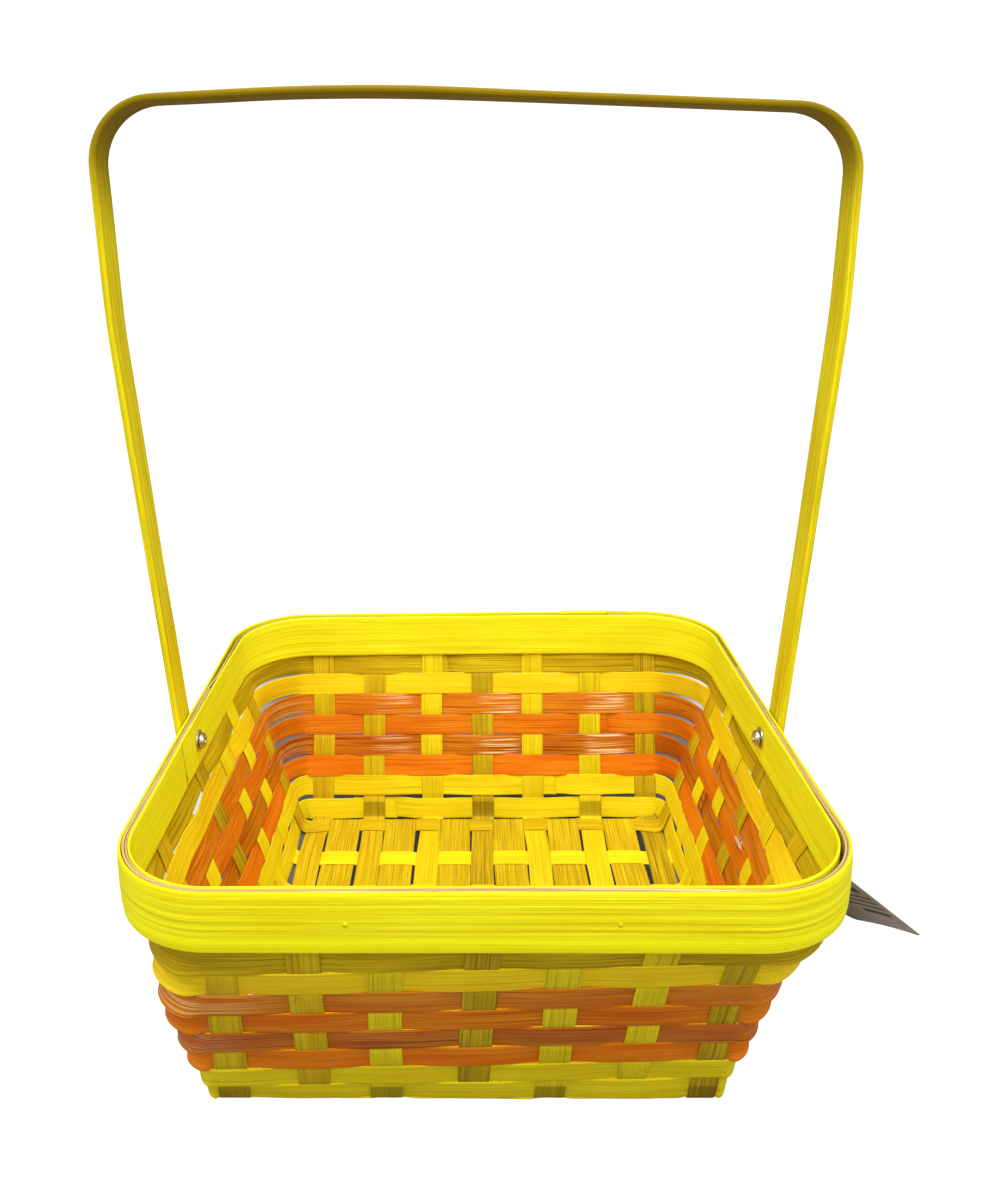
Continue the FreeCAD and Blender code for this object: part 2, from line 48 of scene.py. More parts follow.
camera_data = bpy.data.cameras.new("camera")
camera_data.sensor_width = 36.0
camera_data.lens = 31.56
camera_data.shift_x = 0.0475
camera_data.shift_y = -0.0645
camera = bpy.data.objects.new("camera", camera_data)
bpy.context.scene.collection.objects.link(camera)
bpy.context.scene.camera = camera
turn_left, look_down, tilt = math.radians(-1.37), math.radians(14.97), math.radians(-0.90)
ahead = Vector((math.sin(turn_left) * math.cos(look_down),
                math.cos(turn_left) * math.cos(look_down), -math.sin(look_down)))
level_right = Vector((math.cos(turn_left), -math.sin(turn_left), 0.0))
level_up = level_right.cross(ahead)
right = math.cos(tilt) * level_right + math.sin(tilt) * level_up
upward = -math.sin(tilt) * level_right + math.cos(tilt) * level_up
eye = Vector((-0.0033, -0.3918, 0.2927))
camera.matrix_world = Matrix((*zip(right, upward, -ahead, eye), (0.0, 0.0, 0.0, 1.0)))

# ---------------------------------------------------------------- studio
# A matt pale floor that curves up into a backdrop, a broad lamp nearly overhead, weak ones in
# front and at the sides and an even white surrounding. The floor looks whiter than the light it
# throws back, so that the outside of the walls stays in soft shade.

sweep_turn = np.linspace(0.0, math.pi / 2, 32)
sweep_start, sweep_radius = 1.2, 1.6
sweep_y = np.concatenate([[-4.0], sweep_start + sweep_radius * np.sin(sweep_turn), [2.8]])
sweep_z = np.concatenate([[0.0], sweep_radius * (1 - np.cos(sweep_turn)), [5.0]])
sweep_count = len(sweep_y)
floor_mesh = bpy.data.meshes.new("studio_floor")
floor_mesh.from_pydata([(x, y, z) for x in (-5.0, 5.0) for y, z in zip(sweep_y, sweep_z)], [], [
    (k, k + sweep_count, k + sweep_count + 1, k + 1) for k in range(sweep_count - 1)])
floor_mesh.shade_smooth()
floor = bpy.data.objects.new("studio_floor", floor_mesh)
bpy.context.scene.collection.objects.link(floor)


def new_finish(name):
    """A node material with that name, its node tree and its Principled shader."""
    material = bpy.data.materials.new(name)
    material.use_nodes = True
    return material, material.node_tree, material.node_tree.nodes["Principled BSDF"]


def calculate(tree, operation, *values):
    """One step of arithmetic; each value is a number or another node's output."""
    step = tree.nodes.new("ShaderNodeMath")
    step.operation = operation
    for socket, value in zip(step.inputs, values):
        if isinstance(value, float):
            socket.default_value = value
        else:
            tree.links.new(value, socket)
    return step.outputs[0]


def narrowed(tree, value, low, high, to_low=0.0, to_high=1.0):
    """The value between low and high, spread over to_low to to_high, held at the ends."""
    span = tree.nodes.new("ShaderNodeMapRange")
    span.interpolation_type = "SMOOTHSTEP"
    for socket, number in zip(("From Min", "From Max", "To Min", "To Max"),
                              (low, high, to_low, to_high)):
        span.inputs[socket].default_value = number
    tree.links.new(value, span.inputs["Value"])
    return span.outputs["Result"]


def mixed(tree, mask, low, high, amount=1.0):
    """One colour into another by a mask, which is first multiplied by the amount."""
    if amount != 1.0:
        mask = calculate(tree, "MULTIPLY", mask, amount)
    mix = tree.nodes.new("ShaderNodeMix")
    mix.data_type = "RGBA"
    tree.links.new(mask, mix.inputs["Factor"])
    for socket, colour in ((mix.inputs[6], low), (mix.inputs[7], high)):
        if isinstance(colour, tuple):
            socket.default_value = (*colour, 1.0)
        else:
            tree.links.new(colour, socket)
    return mix.outputs[2]


floor_paint, floor_nodes, floor_shader = new_finish("floor_paint")
floor_shader.inputs["Roughness"].default_value = 0.9
floor_shader.inputs["Specular IOR Level"].default_value = 0.1
floor_shader.inputs["Emission Color"].default_value = (1.0, 1.0, 1.0, 1.0)
floor_place = floor_nodes.nodes.new("ShaderNodeTexCoord").outputs["Object"]


def beside_rectangle(centre, half, reach, strength):
    """0 on a rectangle of the floor, going smoothly to strength with the distance from it, which
    is |max(|p - centre| - half, 0)|, up to the reach."""
    value = floor_place
    for operation, numbers in (("SUBTRACT", (*centre, 0.0)), ("ABSOLUTE", None),
                               ("SUBTRACT", (*half, 10.0)), ("MAXIMUM", (0.0, 0.0, 0.0)),
                               ("LENGTH", None)):
        step = floor_nodes.nodes.new("ShaderNodeVectorMath")
        step.operation = operation
        if numbers:
            step.inputs[1].default_value = numbers
        floor_nodes.links.new(value, step.inputs[0])
        value = step.outputs["Value" if operation == "LENGTH" else 0]
    return narrowed(floor_nodes, value, 0.0, reach, 0.0, strength)


# no added whiteness under the basket, nor just behind it, and the floor's grey painted darker
# there: a painted shadow where the basket stands in its own shade
glow = floor_nodes.nodes.new("ShaderNodeLightPath").outputs["Is Camera Ray"]
under_basket = beside_rectangle((0.0, 0.015), (0.080, 0.085), 0.013, 1.0)
behind = beside_rectangle((0.0, 0.155), (0.125, 0.125), 0.045, 0.92)
paint = (0.26, 0.26, 0.26)
for fade, grey in ((behind, 0.14), (under_basket, 0.03)):
    glow = calculate(floor_nodes, "MULTIPLY", glow, fade)
    paint = mixed(floor_nodes, fade, (grey, grey, grey), paint)
floor_nodes.links.new(glow, floor_shader.inputs["Emission Strength"])
floor_nodes.links.new(paint, floor_shader.inputs["Base Color"])
floor_mesh.materials.append(floor_paint)

studio_air = bpy.data.worlds.new("studio_air")
bpy.context.scene.world = studio_air
studio_air.use_nodes = True
air = studio_air.node_tree
air.nodes["Background"].inputs["Color"].default_value = (1.0, 1.0, 1.0, 1.0)
air_strength = calculate(
    air, "MULTIPLY_ADD", air.nodes.new("ShaderNodeLightPath").outputs["Is Camera Ray"],
    0.42, 0.62)
air.links.new(air_strength, air.nodes["Background"].inputs["Strength"])


def add_lamp(name, place, target, width, power):
    """A square area lamp of that width at a place, facing its target."""
    data = bpy.data.lights.new(name, "AREA")
    data.size = width
    data.energy = power
    lamp = bpy.data.objects.new(name, data)
    bpy.context.scene.collection.objects.link(lamp)
    lamp.location = place
    lamp.rotation_euler = (Vector(target) - Vector(place)).to_track_quat("-Z", "Y").to_euler()


add_lamp("lamp_above", (-0.04, -0.45, 1.6), (0.0, 0.02, 0.05), 1.2, 29.0)
add_lamp("lamp_front", (0.3, -1.5, 1.5), (0.0, 0.0, 0.15), 0.9, 4.0)
add_lamp("lamp_left", (-1.7, -0.5, 0.9), (0.0, 0.0, 0.15), 0.9, 8.0)
add_lamp("lamp_right", (1.7, -0.5, 0.9), (0.0, 0.0, 0.15), 0.9, 8.0)
bpy.context.scene.view_settings.view_transform = "Standard"

# ---------------------------------------------------------------- stakes and base mat
# Fourteen flat strips of split bamboo, dyed yellow, seven each way. They weave through one
# another in the base, turn up at its edge and run up the walls between the hoops.

STRIP_THICK = 0.6
LAYER = 0.7                     # between the outer and the inner strip where two cross
MAT_LEVEL = 0.8                 # the middle of the base mat
STAKES, STAKE_GAP, STAKE_WIDTH = 7, 27.7, 11.0
ROWS, ROW_GAP, ROW_WIDTH = 8, 10.1, 10.4
ROW_START = 1.6                 # the lowest hoop's lower edge
BASE_HALF, RIM_MIDDLE = 91.3, 117.9     # the wall's middle plane at the base and at the top
WALL_TOP = 82.0
WALL_SLOPE = (RIM_MIDDLE - BASE_HALF) / WALL_TOP
WALL_ANGLE = math.atan(WALL_SLOPE)
STEP = 1.1                      # between two rings of points along a strip
TUCK = 1.0                      # how far inside a crossing's edge a strip reaches its level


def ease(t):
    """The smooth step 3t^2 - 2t^3 of t held between 0 and 1."""
    t = np.clip(t, 0.0, 1.0)
    return t * t * (3.0 - 2.0 * t)


def wander(along, seed, reach, amount):
    """A slow random wave: a sum of four sines of random phase whose lengths lie round reach."""
    dice = np.random.default_rng(seed)
    lengths = reach * np.array([1.0, 0.61, 0.37, 0.23])
    phases = dice.uniform(0, 2 * math.pi, 4)
    shares = np.array([1.0, 0.7, 0.4, 0.25]) / 2.35
    waves = np.sin(2 * math.pi * along[:, None] / lengths + phases)
    return amount * (waves * shares).sum(axis=1)


def settle(points):
    """How the finished basket has gone out of true. Low on the walls every point moves left at
    the front and right at the back, the front right corner pulls in, the front sinks on the
    left and lifts on the right, the back leans right; all of it fades out towards the rim."""
    x, y, z = points.T
    below = np.clip(1.0 - z / WALL_TOP, 0.0, 1.0)
    front = np.clip((-20.0 - y) / 70.0, -0.6, 1.0)
    only_front = np.clip(front, 0.0, 1.0)
    skewed, pulled, leaned, tipped, corner_cut = 3.6, 4.0, 2.4, 2.4, 5.0
    moved = points.copy()
    moved[:, 0] -= skewed * below * front
    pull = np.clip((WALL_TOP - z) / 25.0, 0.0, 1.0)
    moved[:, 0] -= pulled * np.clip(x / 85.0, 0.0, 1.25) ** 3 * pull * only_front
    moved[:, 0] += (leaned * np.clip(z / WALL_TOP, 0, 1) * np.clip(y / 90.0, 0, 1)
                    * (z < WALL_TOP + 2))
    moved[:, 2] += (tipped * (x / 95.0) * only_front * np.clip(z / 12.0, 0, 1)
                    * np.clip((86 - z) / 12.0, 0, 1))
    # high up, the front left corner is cut shorter than the rim's
    corner = np.exp(-((np.arctan2(y, x) + 2.41) / 0.17) ** 2)
    cut = corner_cut * corner * ease((83.0 - z) / 3.5) * ease((z - 45.0) / 30.0)
    moved[:, :2] += cut[:, None] * np.array([1.0, 0.3])
    return moved


def run_along(line):
    """The length from a line's start to each of its points."""
    return np.cumsum(np.linalg.norm(np.diff(line, axis=0, prepend=line[:1]), axis=1))


def units(vectors):
    """Each vector divided by its length."""
    return vectors / np.linalg.norm(vectors, axis=1)[:, None]


BEVELLED = ((0.0, 0.018, 0.05), (0.5, 0.86, 1.0))


def carry_strip(middle, across, face, width, thick, relief, columns, lean_end, edge, camber):
    """A flat strip's closed skin. Its section is a thin rectangle with worked edges, width by
    thick, carried along the middle line: point = middle + across * v * width / 2 + face * t,
    where v runs from -1 to 1 over the outer face and back over the inner one, and t is plus or
    minus half the thickness, less near the edges, plus the relief, and for both faces plus the
    camber times 1 - v^2. The texture's u is the length along the line, its v the place across."""
    places, shares = np.array(edge[0]), np.array(edge[1])
    spread = np.linspace(places[-1] + 0.03, 0.97 - places[-1], columns)
    share = np.concatenate([places, spread, 1 - places[::-1]])
    v = share * 2 - 1
    body = np.concatenate([shares, np.ones(columns), shares[::-1]])
    rows = len(middle)
    width = np.broadcast_to(np.asarray(width, float), (rows,))
    half = thick / 2 * body[None, :]
    bump = np.zeros((rows, len(v))) if relief is None else relief(v, rows) * (body > 0.9)
    lay = middle[:, None] + across[:, None] * (v[None, :] * (width / 2)[:, None])[..., None]
    crown = camber * (1 - v ** 2)[None, :]
    over, under = (lay + face[:, None] * (crown + side * (half + bump))[..., None]
                   for side in (1, -1))
    ring = np.concatenate([over, under[:, ::-1]], axis=1)
    flat = np.concatenate([v, v[::-1]])
    place_u = np.broadcast_to(run_along(middle)[:, None], ring.shape[:2])
    under_apart = np.where(np.arange(len(flat)) < len(v), 0.0, 40.0)
    place_v = flat[None, :] * (width / 2)[:, None] + under_apart[None, :]
    if lean_end:
        along = units(np.gradient(middle, axis=0))
        for end in (0, -1):
            ring[end] += along[end] * (lean_end * flat)[:, None]
    return ring, np.stack([place_u, place_v], axis=-1), len(v)


def grid_quads(rows, ring, closed=False):
    """Quads over a grid of points: each row is a closed ring, and if closed, the last row meets
    the first."""
    i, j = np.meshgrid(np.arange(rows if closed else rows - 1), np.arange(ring), indexing="ij")
    k, after = (j + 1) % ring, (i + 1) % rows
    return np.stack([i * ring + j, i * ring + k, after * ring + k, after * ring + j],
                    -1).reshape(-1, 4)


def skin_faces(rows, ring, columns):
    """Quads of a closed tube of rows rings, with its two flat ends closed column by column."""
    c = np.arange(columns - 1)
    start = np.stack([c, ring - 1 - c, ring - 2 - c, c + 1], -1)
    return np.concatenate([grid_quads(rows, ring), start, (rows - 1) * ring + start[:, ::-1]])


def finish_piece(name, points, quads, uv, material, body, slot, nodes):
    """Puts the arrays into a mesh in metres, one texture place for each point, smooth shaded,
    then links it, gives it its material and says what it rides on and stands for. The faces are
    turned over if the volume they enclose, the sum of a . (b x c) over triangles, is negative."""
    a, b, c, d = (points[quads[:, k]] for k in range(4))
    if (a * (np.cross(b, c) + np.cross(c, d))).sum() < 0:
        quads = quads[:, ::-1]
    mesh = bpy.data.meshes.new(name)
    mesh.from_pydata((points * 0.001).tolist(), [], quads.tolist())
    layer = mesh.uv_layers.new(name="grain")
    corners = np.zeros(len(mesh.loops), np.int32)
    mesh.loops.foreach_get("vertex_index", corners)
    layer.data.foreach_set("uv", (uv[corners] * 0.001).astype(np.float32).ravel())
    mesh.shade_smooth()
    mesh.materials.append(material)
    piece = bpy.data.objects.new(name, mesh)
    bpy.context.scene.collection.objects.link(piece)
    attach(piece, body)
    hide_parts(*nodes)
    return piece


def make_strip(name, middle, across, face, width, thick, material, slot, seed, nodes,
               relief=None, body="basket", moved=settle, lean_end=0.0, columns=13,
               edge=BEVELLED, camber=0.0):
    """One carried strip as a finished piece; its seed also picks its own stretch of grain."""
    ring, place, count = carry_strip(middle, across, face, width, thick, relief, columns,
                                     lean_end, edge, camber)
    points = moved(ring.reshape(-1, 3)) if moved else ring.reshape(-1, 3)
    shift = np.array([137.0 * (seed % 17), 83.0 * (seed % 29)])
    return finish_piece(name, points, skin_faces(*ring.shape[:2], count),
                        place.reshape(-1, 2) + shift, material, body, slot, nodes)


def even_steps(points, step=STEP):
    """Points at even steps along a polyline, its corners eased off by a short running mean."""
    run = run_along(points)
    at = np.linspace(0.0, run[-1], max(int(run[-1] / step), 8))
    line = np.stack([np.interp(at, run, points[:, k]) for k in range(points.shape[1])], -1)
    for _ in range(2):
        line[1:-1] = (line[:-2] + 2 * line[1:-1] + line[2:]) / 4
    return line


def normals_2d(line):
    """Unit normals of a flat polyline, to its left."""
    along = units(np.gradient(line, axis=0))
    return np.stack([-along[:, 1], along[:, 0]], -1)


def stake_outside(on_front_or_back, number, row):
    """True where a stake passes outside that row's hoop, as in plain weave."""
    even = (number + row) % 2 == 0
    return not even if on_front_or_back else even


def row_middle(row):
    """The level of a hoop's middle; row 1 is the highest."""
    return ROW_START + ROW_GAP * (ROWS - row) + ROW_WIDTH / 2


def climb(sides):
    """A stake's way up one wall: half a layer out or in of the wall's middle plane at each hoop,
    with the change made between two hoops, then upright between the rim's bands."""
    points = []
    hold, between_bands = ROW_WIDTH / 2 - 0.7, RIM_MIDDLE - 0.4
    for row in range(ROWS, 0, -1):
        for level in (row_middle(row) - hold, row_middle(row), row_middle(row) + hold):
            shift = sides[row - 1] * LAYER / 2
            points.append((BASE_HALF + WALL_SLOPE * level + shift * math.cos(WALL_ANGLE),
                           level - shift * math.sin(WALL_ANGLE)))
    return points + [(between_bands, WALL_TOP + 2.4), (between_bands, 95.4)]


def mat_line(crossings):
    """The way over and under the strips that cross in the base, as (along, level)."""
    return [(place, MAT_LEVEL + over * LAYER / 2) for centre, half, over in crossings
            for place in (centre - half, centre + half)]


def stake_line(crossings, sides):
    """A stake's middle line as (along, level): down one wall, over and under in the base, and up
    the other wall."""
    turn = BASE_HALF - 1.2 + sides[-1] * 0.5
    up = [(turn, MAT_LEVEL + 0.1)] + climb(sides)
    down = [(-along, level) for along, level in up[::-1]]
    return even_steps(np.array(down + mat_line(crossings) + up))


# The dyed bamboo's finish: long fine fibre lines, wider darker streaks and slow cloudy changes
# of tone, all drawn out along the strip.


def stretched_noise(tree, place, along, across, detail):
    """Noise over the grain's place, each axis divided by its own length in metres."""
    scale = tree.nodes.new("ShaderNodeVectorMath")
    scale.operation = "MULTIPLY"
    scale.inputs[1].default_value = (1.0 / along, 1.0 / across, 1.0)
    tree.links.new(place, scale.inputs[0])
    noise = tree.nodes.new("ShaderNodeTexNoise")
    noise.inputs["Scale"].default_value = 1.0
    noise.inputs["Detail"].default_value = detail
    noise.inputs["Roughness"].default_value = 0.55
    tree.links.new(scale.outputs[0], noise.inputs["Vector"])
    return noise.outputs["Fac"]


fibre = bpy.data.node_groups.new("split_fibre", "ShaderNodeTree")
fibre.interface.new_socket(name="Place", in_out="INPUT", socket_type="NodeSocketVector")
fibre_in = fibre.nodes.new("NodeGroupInput")
fibre_out = fibre.nodes.new("NodeGroupOutput")
waves = {}
for mask, along, across, detail, low, high in (
        ("Lines", 0.045, 0.00038, 3.0, 0.36, 0.64), ("Streaks", 0.11, 0.0012, 2.0, 0.52, 0.70),
        ("Cloud", 0.05, 0.009, 2.0, 0.34, 0.66), ("Ticks", 0.006, 0.0003, 1.0, 0.66, 0.76)):
    fibre.interface.new_socket(name=mask, in_out="OUTPUT", socket_type="NodeSocketFloat")
    waves[mask] = stretched_noise(fibre, fibre_in.outputs["Place"], along, across, detail)
    fibre.links.new(narrowed(fibre, waves[mask], low, high), fibre_out.inputs[mask])
fibre.interface.new_socket(name="Height", in_out="OUTPUT", socket_type="NodeSocketFloat")
fibre.links.new(calculate(fibre, "MULTIPLY_ADD", waves["Streaks"], 0.6, waves["Lines"]),
                fibre_out.inputs["Height"])


def linear(red, green, blue):
    """A colour given on the 0 to 255 screen scale, as the linear numbers a shader takes."""
    screen = np.array([red, green, blue]) / 255.0
    return tuple(float(c) for c in np.where(
        screen <= 0.04045, screen / 12.92, ((screen + 0.055) / 1.055) ** 2.4))


def add_relief(tree, height, strength, distance):
    """A bump of that height, in metres at full strength, on the tree's Principled shader."""
    relief = tree.nodes.new("ShaderNodeBump")
    relief.inputs["Strength"].default_value = strength
    relief.inputs["Distance"].default_value = distance
    tree.links.new(height, relief.inputs["Height"])
    tree.links.new(relief.outputs["Normal"], tree.nodes["Principled BSDF"].inputs["Normal"])


def dyed_bamboo(name, main, pale, dark, lines=0.45, streaks=0.35, ticks=0.5, gloss=0.58,
                sheen=0.07, bump=0.25):
    """Dyed split bamboo: main colour going to pale in slow clouds, fine darker fibre lines,
    darker streaks and short ticks, a fibre bump, and a thin uneven coat of dye that shines."""
    material, tree, shader = new_finish(name)
    place = tree.nodes.new("ShaderNodeUVMap")
    place.uv_map = "grain"
    grain = tree.nodes.new("ShaderNodeGroup")
    grain.node_tree = fibre
    tree.links.new(place.outputs["UV"], grain.inputs["Place"])
    colour = mixed(tree, grain.outputs["Cloud"], linear(*main), linear(*pale))
    for mask, amount in (("Lines", lines * 0.65), ("Streaks", streaks), ("Ticks", ticks)):
        colour = mixed(tree, grain.outputs[mask], colour, linear(*dark), amount)
    tree.links.new(colour, shader.inputs["Base Color"])
    rough = narrowed(tree, grain.outputs["Lines"], 0.0, 1.0, gloss - 0.1, gloss + 0.12)
    tree.links.new(rough, shader.inputs["Roughness"])
    shader.inputs["Specular IOR Level"].default_value = sheen
    add_relief(tree, grain.outputs["Height"], bump, 0.0004)
    return material


yellow_light = dyed_bamboo("bamboo_yellow_light", (235, 212, 18), (243, 228, 28), (180, 136, 8))
yellow_bright = dyed_bamboo("bamboo_yellow_bright", (238, 222, 22), (245, 232, 30),
                            (196, 150, 8))
yellow_soft = dyed_bamboo("bamboo_yellow_soft", (224, 202, 18), (234, 216, 26), (160, 118, 8),
                          lines=0.55, streaks=0.45)
yellow_mid = dyed_bamboo("bamboo_yellow_mid", (208, 173, 16), (222, 194, 24), (140, 98, 8),
                         lines=0.65, streaks=0.5)
yellow_olive = dyed_bamboo("bamboo_yellow_olive", (194, 161, 17), (212, 183, 26), (108, 78, 8),
                           lines=0.8, streaks=0.6)


def ribs(seed, pitch, amount):
    """Relief of a split face: ridges across the strip whose height and place vary."""
    def relief(v, rows):
        dice = np.random.default_rng(seed)
        lift = np.interp(v, np.linspace(-1, 1, pitch), dice.uniform(-1, 1, pitch))
        along = wander(np.arange(rows) * STEP, seed, 90.0, 1.0)
        return amount * lift[None, :] * (1 + 0.4 * along[:, None])
    return relief


def object_axes(tree):
    """The three Object coordinates, each an output under its letter."""
    axes = tree.nodes.new("ShaderNodeSeparateXYZ")
    tree.links.new(tree.nodes.new("ShaderNodeTexCoord").outputs["Object"], axes.inputs[0])
    return axes.outputs


def paint_shading_over(material, mask, colour, strength=1.0):
    """Paints one more colour over a material's own, by a mask times the strength: painted light
    and painted shade.
    """
    tree = material.node_tree
    base = tree.nodes["Principled BSDF"].inputs["Base Color"]
    tree.links.new(mixed(tree, mask, base.links[0].from_socket, linear(*colour), strength), base)


def shade_the_turn(material):
    """Paints shade over the colour where a stake leaves the base and turns up the front or back
    wall, near the floor: a mask of Object Z between 2.5 and 9.5 mm, times a mask of Y more than
    88 mm from the middle."""
    tree = material.node_tree
    axes = object_axes(tree)
    mask = narrowed(tree, calculate(tree, "ABSOLUTE", axes["Y"]), 0.0872, 0.0882, 0.0, 0.5)
    for gone, full in ((0.0098, 0.0088), (0.0020, 0.0028)):
        mask = calculate(tree, "MULTIPLY", mask, narrowed(tree, axes["Z"], gone, full))
    paint_shading_over(material, mask, (92, 74, 6))


# painted shade where the stakes turn up near the floor
for stake_dye in (yellow_soft, yellow_mid, yellow_olive):
    shade_the_turn(stake_dye)

STAKE_LOOKS_FRONT_BACK = [yellow_mid, yellow_mid, yellow_soft, yellow_olive, yellow_soft,
                          yellow_soft, yellow_olive]
STAKE_LOOKS_LEFT_RIGHT = [yellow_soft, yellow_mid, yellow_light, yellow_olive, yellow_light,
                          yellow_bright, yellow_mid]
FRONT_SHIFTS = [0.0, 0.0, -2.5, 0.0, -1.0, 0.0, 0.0]
BACK_SHIFTS = [1.0, 0.0, 2.5, 1.0, -0.5, 1.5, 2.5]
FILLER_WIDTH = 15.8
CROSSINGS = np.arange(STAKES) - STAKES // 2


def stake_crossings(number, to_back):
    """The strips that a stake crosses in the base, as (centre, half width, over or under). One
    that runs left to right also crosses the fillers between the stakes."""
    stake_half, filler_half = STAKE_WIDTH / 2 - TUCK, FILLER_WIDTH / 2 - TUCK
    if to_back:
        return [(STAKE_GAP * k, stake_half, 1 if k % 2 == 0 else -1) for k in CROSSINGS]
    over = 1 if number % 2 else -1
    return [crossing for k in CROSSINGS
            for crossing in ((STAKE_GAP * k, stake_half, over),
                             (STAKE_GAP * (k + 0.5), filler_half, -over))][:-1]


def build_stake(number, to_back):
    """One stake. Its line lies in an upright plane, and its place across that plane wanders; the
    outermost ones lie further out in the base, and some shift aside in the front or back wall.
    It is worked out as if it ran left to right, and X and Y change places if it doesn't."""
    sides = [1 if stake_outside(to_back, number, row) else -1 for row in range(1, ROWS + 1)]
    line = stake_line(stake_crossings(number, to_back), sides)
    normal, run = normals_2d(line), run_along(line)
    along, level = line.T
    aside = STAKE_GAP * (number - 4)
    outward = (number == STAKES) * 1.0 - (number == 1)
    if to_back:
        aside = aside + FRONT_SHIFTS[number - 1] * np.clip(-along / 90, 0, 1) ** 2 * (level < 100)
        aside += BACK_SHIFTS[number - 1] * np.clip(along / 90, 0, 1) ** 2
    name, first_seed, wave, further = (("front_back", 0, 0.5, 1.6) if to_back
                                       else ("left_right", 20, 0.6, 2.2))
    aside = aside + wander(run, (40 if to_back else 80) + number, 150.0, wave)
    aside += further * outward * ease((88.0 - np.abs(along)) / 14.0)
    middle = np.stack([along, aside, level], -1)
    across = np.tile([0.0, 1.0, 0.0], (len(line), 1))
    face = -np.stack([normal[:, 0], np.zeros(len(line)), normal[:, 1]], -1)
    if to_back:
        middle, across, face = middle[:, [1, 0, 2]], -across[:, [1, 0, 2]], face[:, [1, 0, 2]]
    width = STAKE_WIDTH + wander(run, (60 if to_back else 20) + number, 120.0, 0.25)
    looks = STAKE_LOOKS_FRONT_BACK if to_back else STAKE_LOOKS_LEFT_RIGHT
    make_strip(f"{name}_stake_{number}", middle, across, face, width, STRIP_THICK,
               looks[number - 1], "yellow_strip", (3 if to_back else 13) + number,
               [f"stake_{name}_{number}"], ribs(first_seed + number, 9, 0.05))


for number in range(1, STAKES + 1):
    build_stake(number, True)
    build_stake(number, False)

# ---------------------------------------------------------------- base fillers
# Six wider and coarser strips of the same bamboo, a little browner. They only cross the base,
# between the stakes, and stop at its edge.

yellow_brown = dyed_bamboo("bamboo_yellow_brown", (214, 182, 20), (228, 202, 28), (128, 88, 10),
                           lines=0.9, streaks=0.4)
for number in range(1, STAKES):
    floor_line = mat_line([(STAKE_GAP * k, STAKE_WIDTH / 2 - TUCK, 1 if k % 2 else -1)
                           for k in CROSSINGS])
    floor_line[0] = (-89.8, floor_line[0][1])
    floor_line[-1] = (89.8, floor_line[-1][1])
    line = even_steps(np.array(floor_line))
    normal, run = normals_2d(line), run_along(line)
    place = STAKE_GAP * (number - 3.5) + wander(run, 90 + number, 120.0, 0.3)
    place += 0.8 * ((number == STAKES - 1) * 1.0 - (number == 1))
    middle = np.stack([place, line[:, 0], line[:, 1]], -1)
    across = np.tile([-1.0, 0.0, 0.0], (len(line), 1))
    face = np.stack([np.zeros(len(line)), -normal[:, 0], -normal[:, 1]], -1)
    make_strip(f"base_filler_strip_{number}", middle, across, face, FILLER_WIDTH, STRIP_THICK,
               yellow_brown, "yellow_strip", 23 + number, [f"base_filler_{number}"],
               ribs(50 + number, 15, 0.05), columns=17)

# ---------------------------------------------------------------- hoops
# Eight flat strips woven round the walls, each one closed by lapping its ends over a stake. The
# top two and the lowest two are yellow, the four between them orange, one of them the shiny
# outer skin of the cane. At the corners a hoop stands upright, so each steps in from the next.

yellow_dull = dyed_bamboo("bamboo_yellow_dull", (204, 172, 16), (220, 192, 24), (120, 84, 8),
                          lines=0.8, streaks=0.6, sheen=0.04)
orange = dyed_bamboo("bamboo_orange", (222, 114, 12), (232, 138, 22), (150, 56, 6), lines=0.6,
                     streaks=0.5, gloss=0.5)
orange_bright = dyed_bamboo("bamboo_orange_bright", (231, 116, 12), (240, 140, 22), (150, 52, 6))
yellow_golden = dyed_bamboo("bamboo_yellow_golden", (242, 205, 18), (248, 219, 28),
                            (186, 134, 8))
orange_pale = dyed_bamboo("bamboo_orange_pale", (220, 122, 16), (230, 148, 30), (146, 58, 6),
                          lines=0.8, streaks=0.6, gloss=0.4, sheen=0.1, bump=0.4)
orange_shiny = dyed_bamboo("bamboo_orange_shiny", (206, 106, 12), (220, 134, 24), (120, 46, 4),
                           lines=0.9, streaks=0.8, gloss=0.34, sheen=0.14, bump=0.5)


def add_painted_highlights(material, strength):
    """Painted highlights: fine pale lines along the hard outer skin, for the light it catches
    where the strip bows in between two stakes on the back wall, stronger to the right, and where
    it turns the front left corner. The bows come at every second stake, as a sine of X whose wave
    is two stakes long."""
    tree = material.node_tree
    lines = stretched_noise(tree, tree.nodes["UV Map"].outputs["UV"], 0.06, 0.0009, 1.0)
    axes = object_axes(tree)
    from_stake, two_stakes = 0.0018, 2 * STAKE_GAP * 0.001
    turn = calculate(tree, "MULTIPLY", calculate(tree, "ADD", axes["X"], from_stake),
                     2 * math.pi / two_stakes)
    mask = narrowed(tree, calculate(tree, "SINE", turn), 0.1, 1.0)
    for part in (narrowed(tree, axes["X"], -0.09, 0.06, 0.3, 1.0),
                 narrowed(tree, axes["Y"], 0.08, 0.09)):
        mask = calculate(tree, "MULTIPLY", mask, part)
    diagonal = calculate(tree, "ADD", axes["X"], axes["Y"])
    mask = calculate(tree, "MAXIMUM", mask, narrowed(tree, diagonal, -0.194, -0.178, 0.35, 0.0))
    mask = calculate(tree, "MULTIPLY", mask, narrowed(tree, lines, 0.5, 0.64))
    paint_shading_over(material, mask, (255, 236, 190), strength)
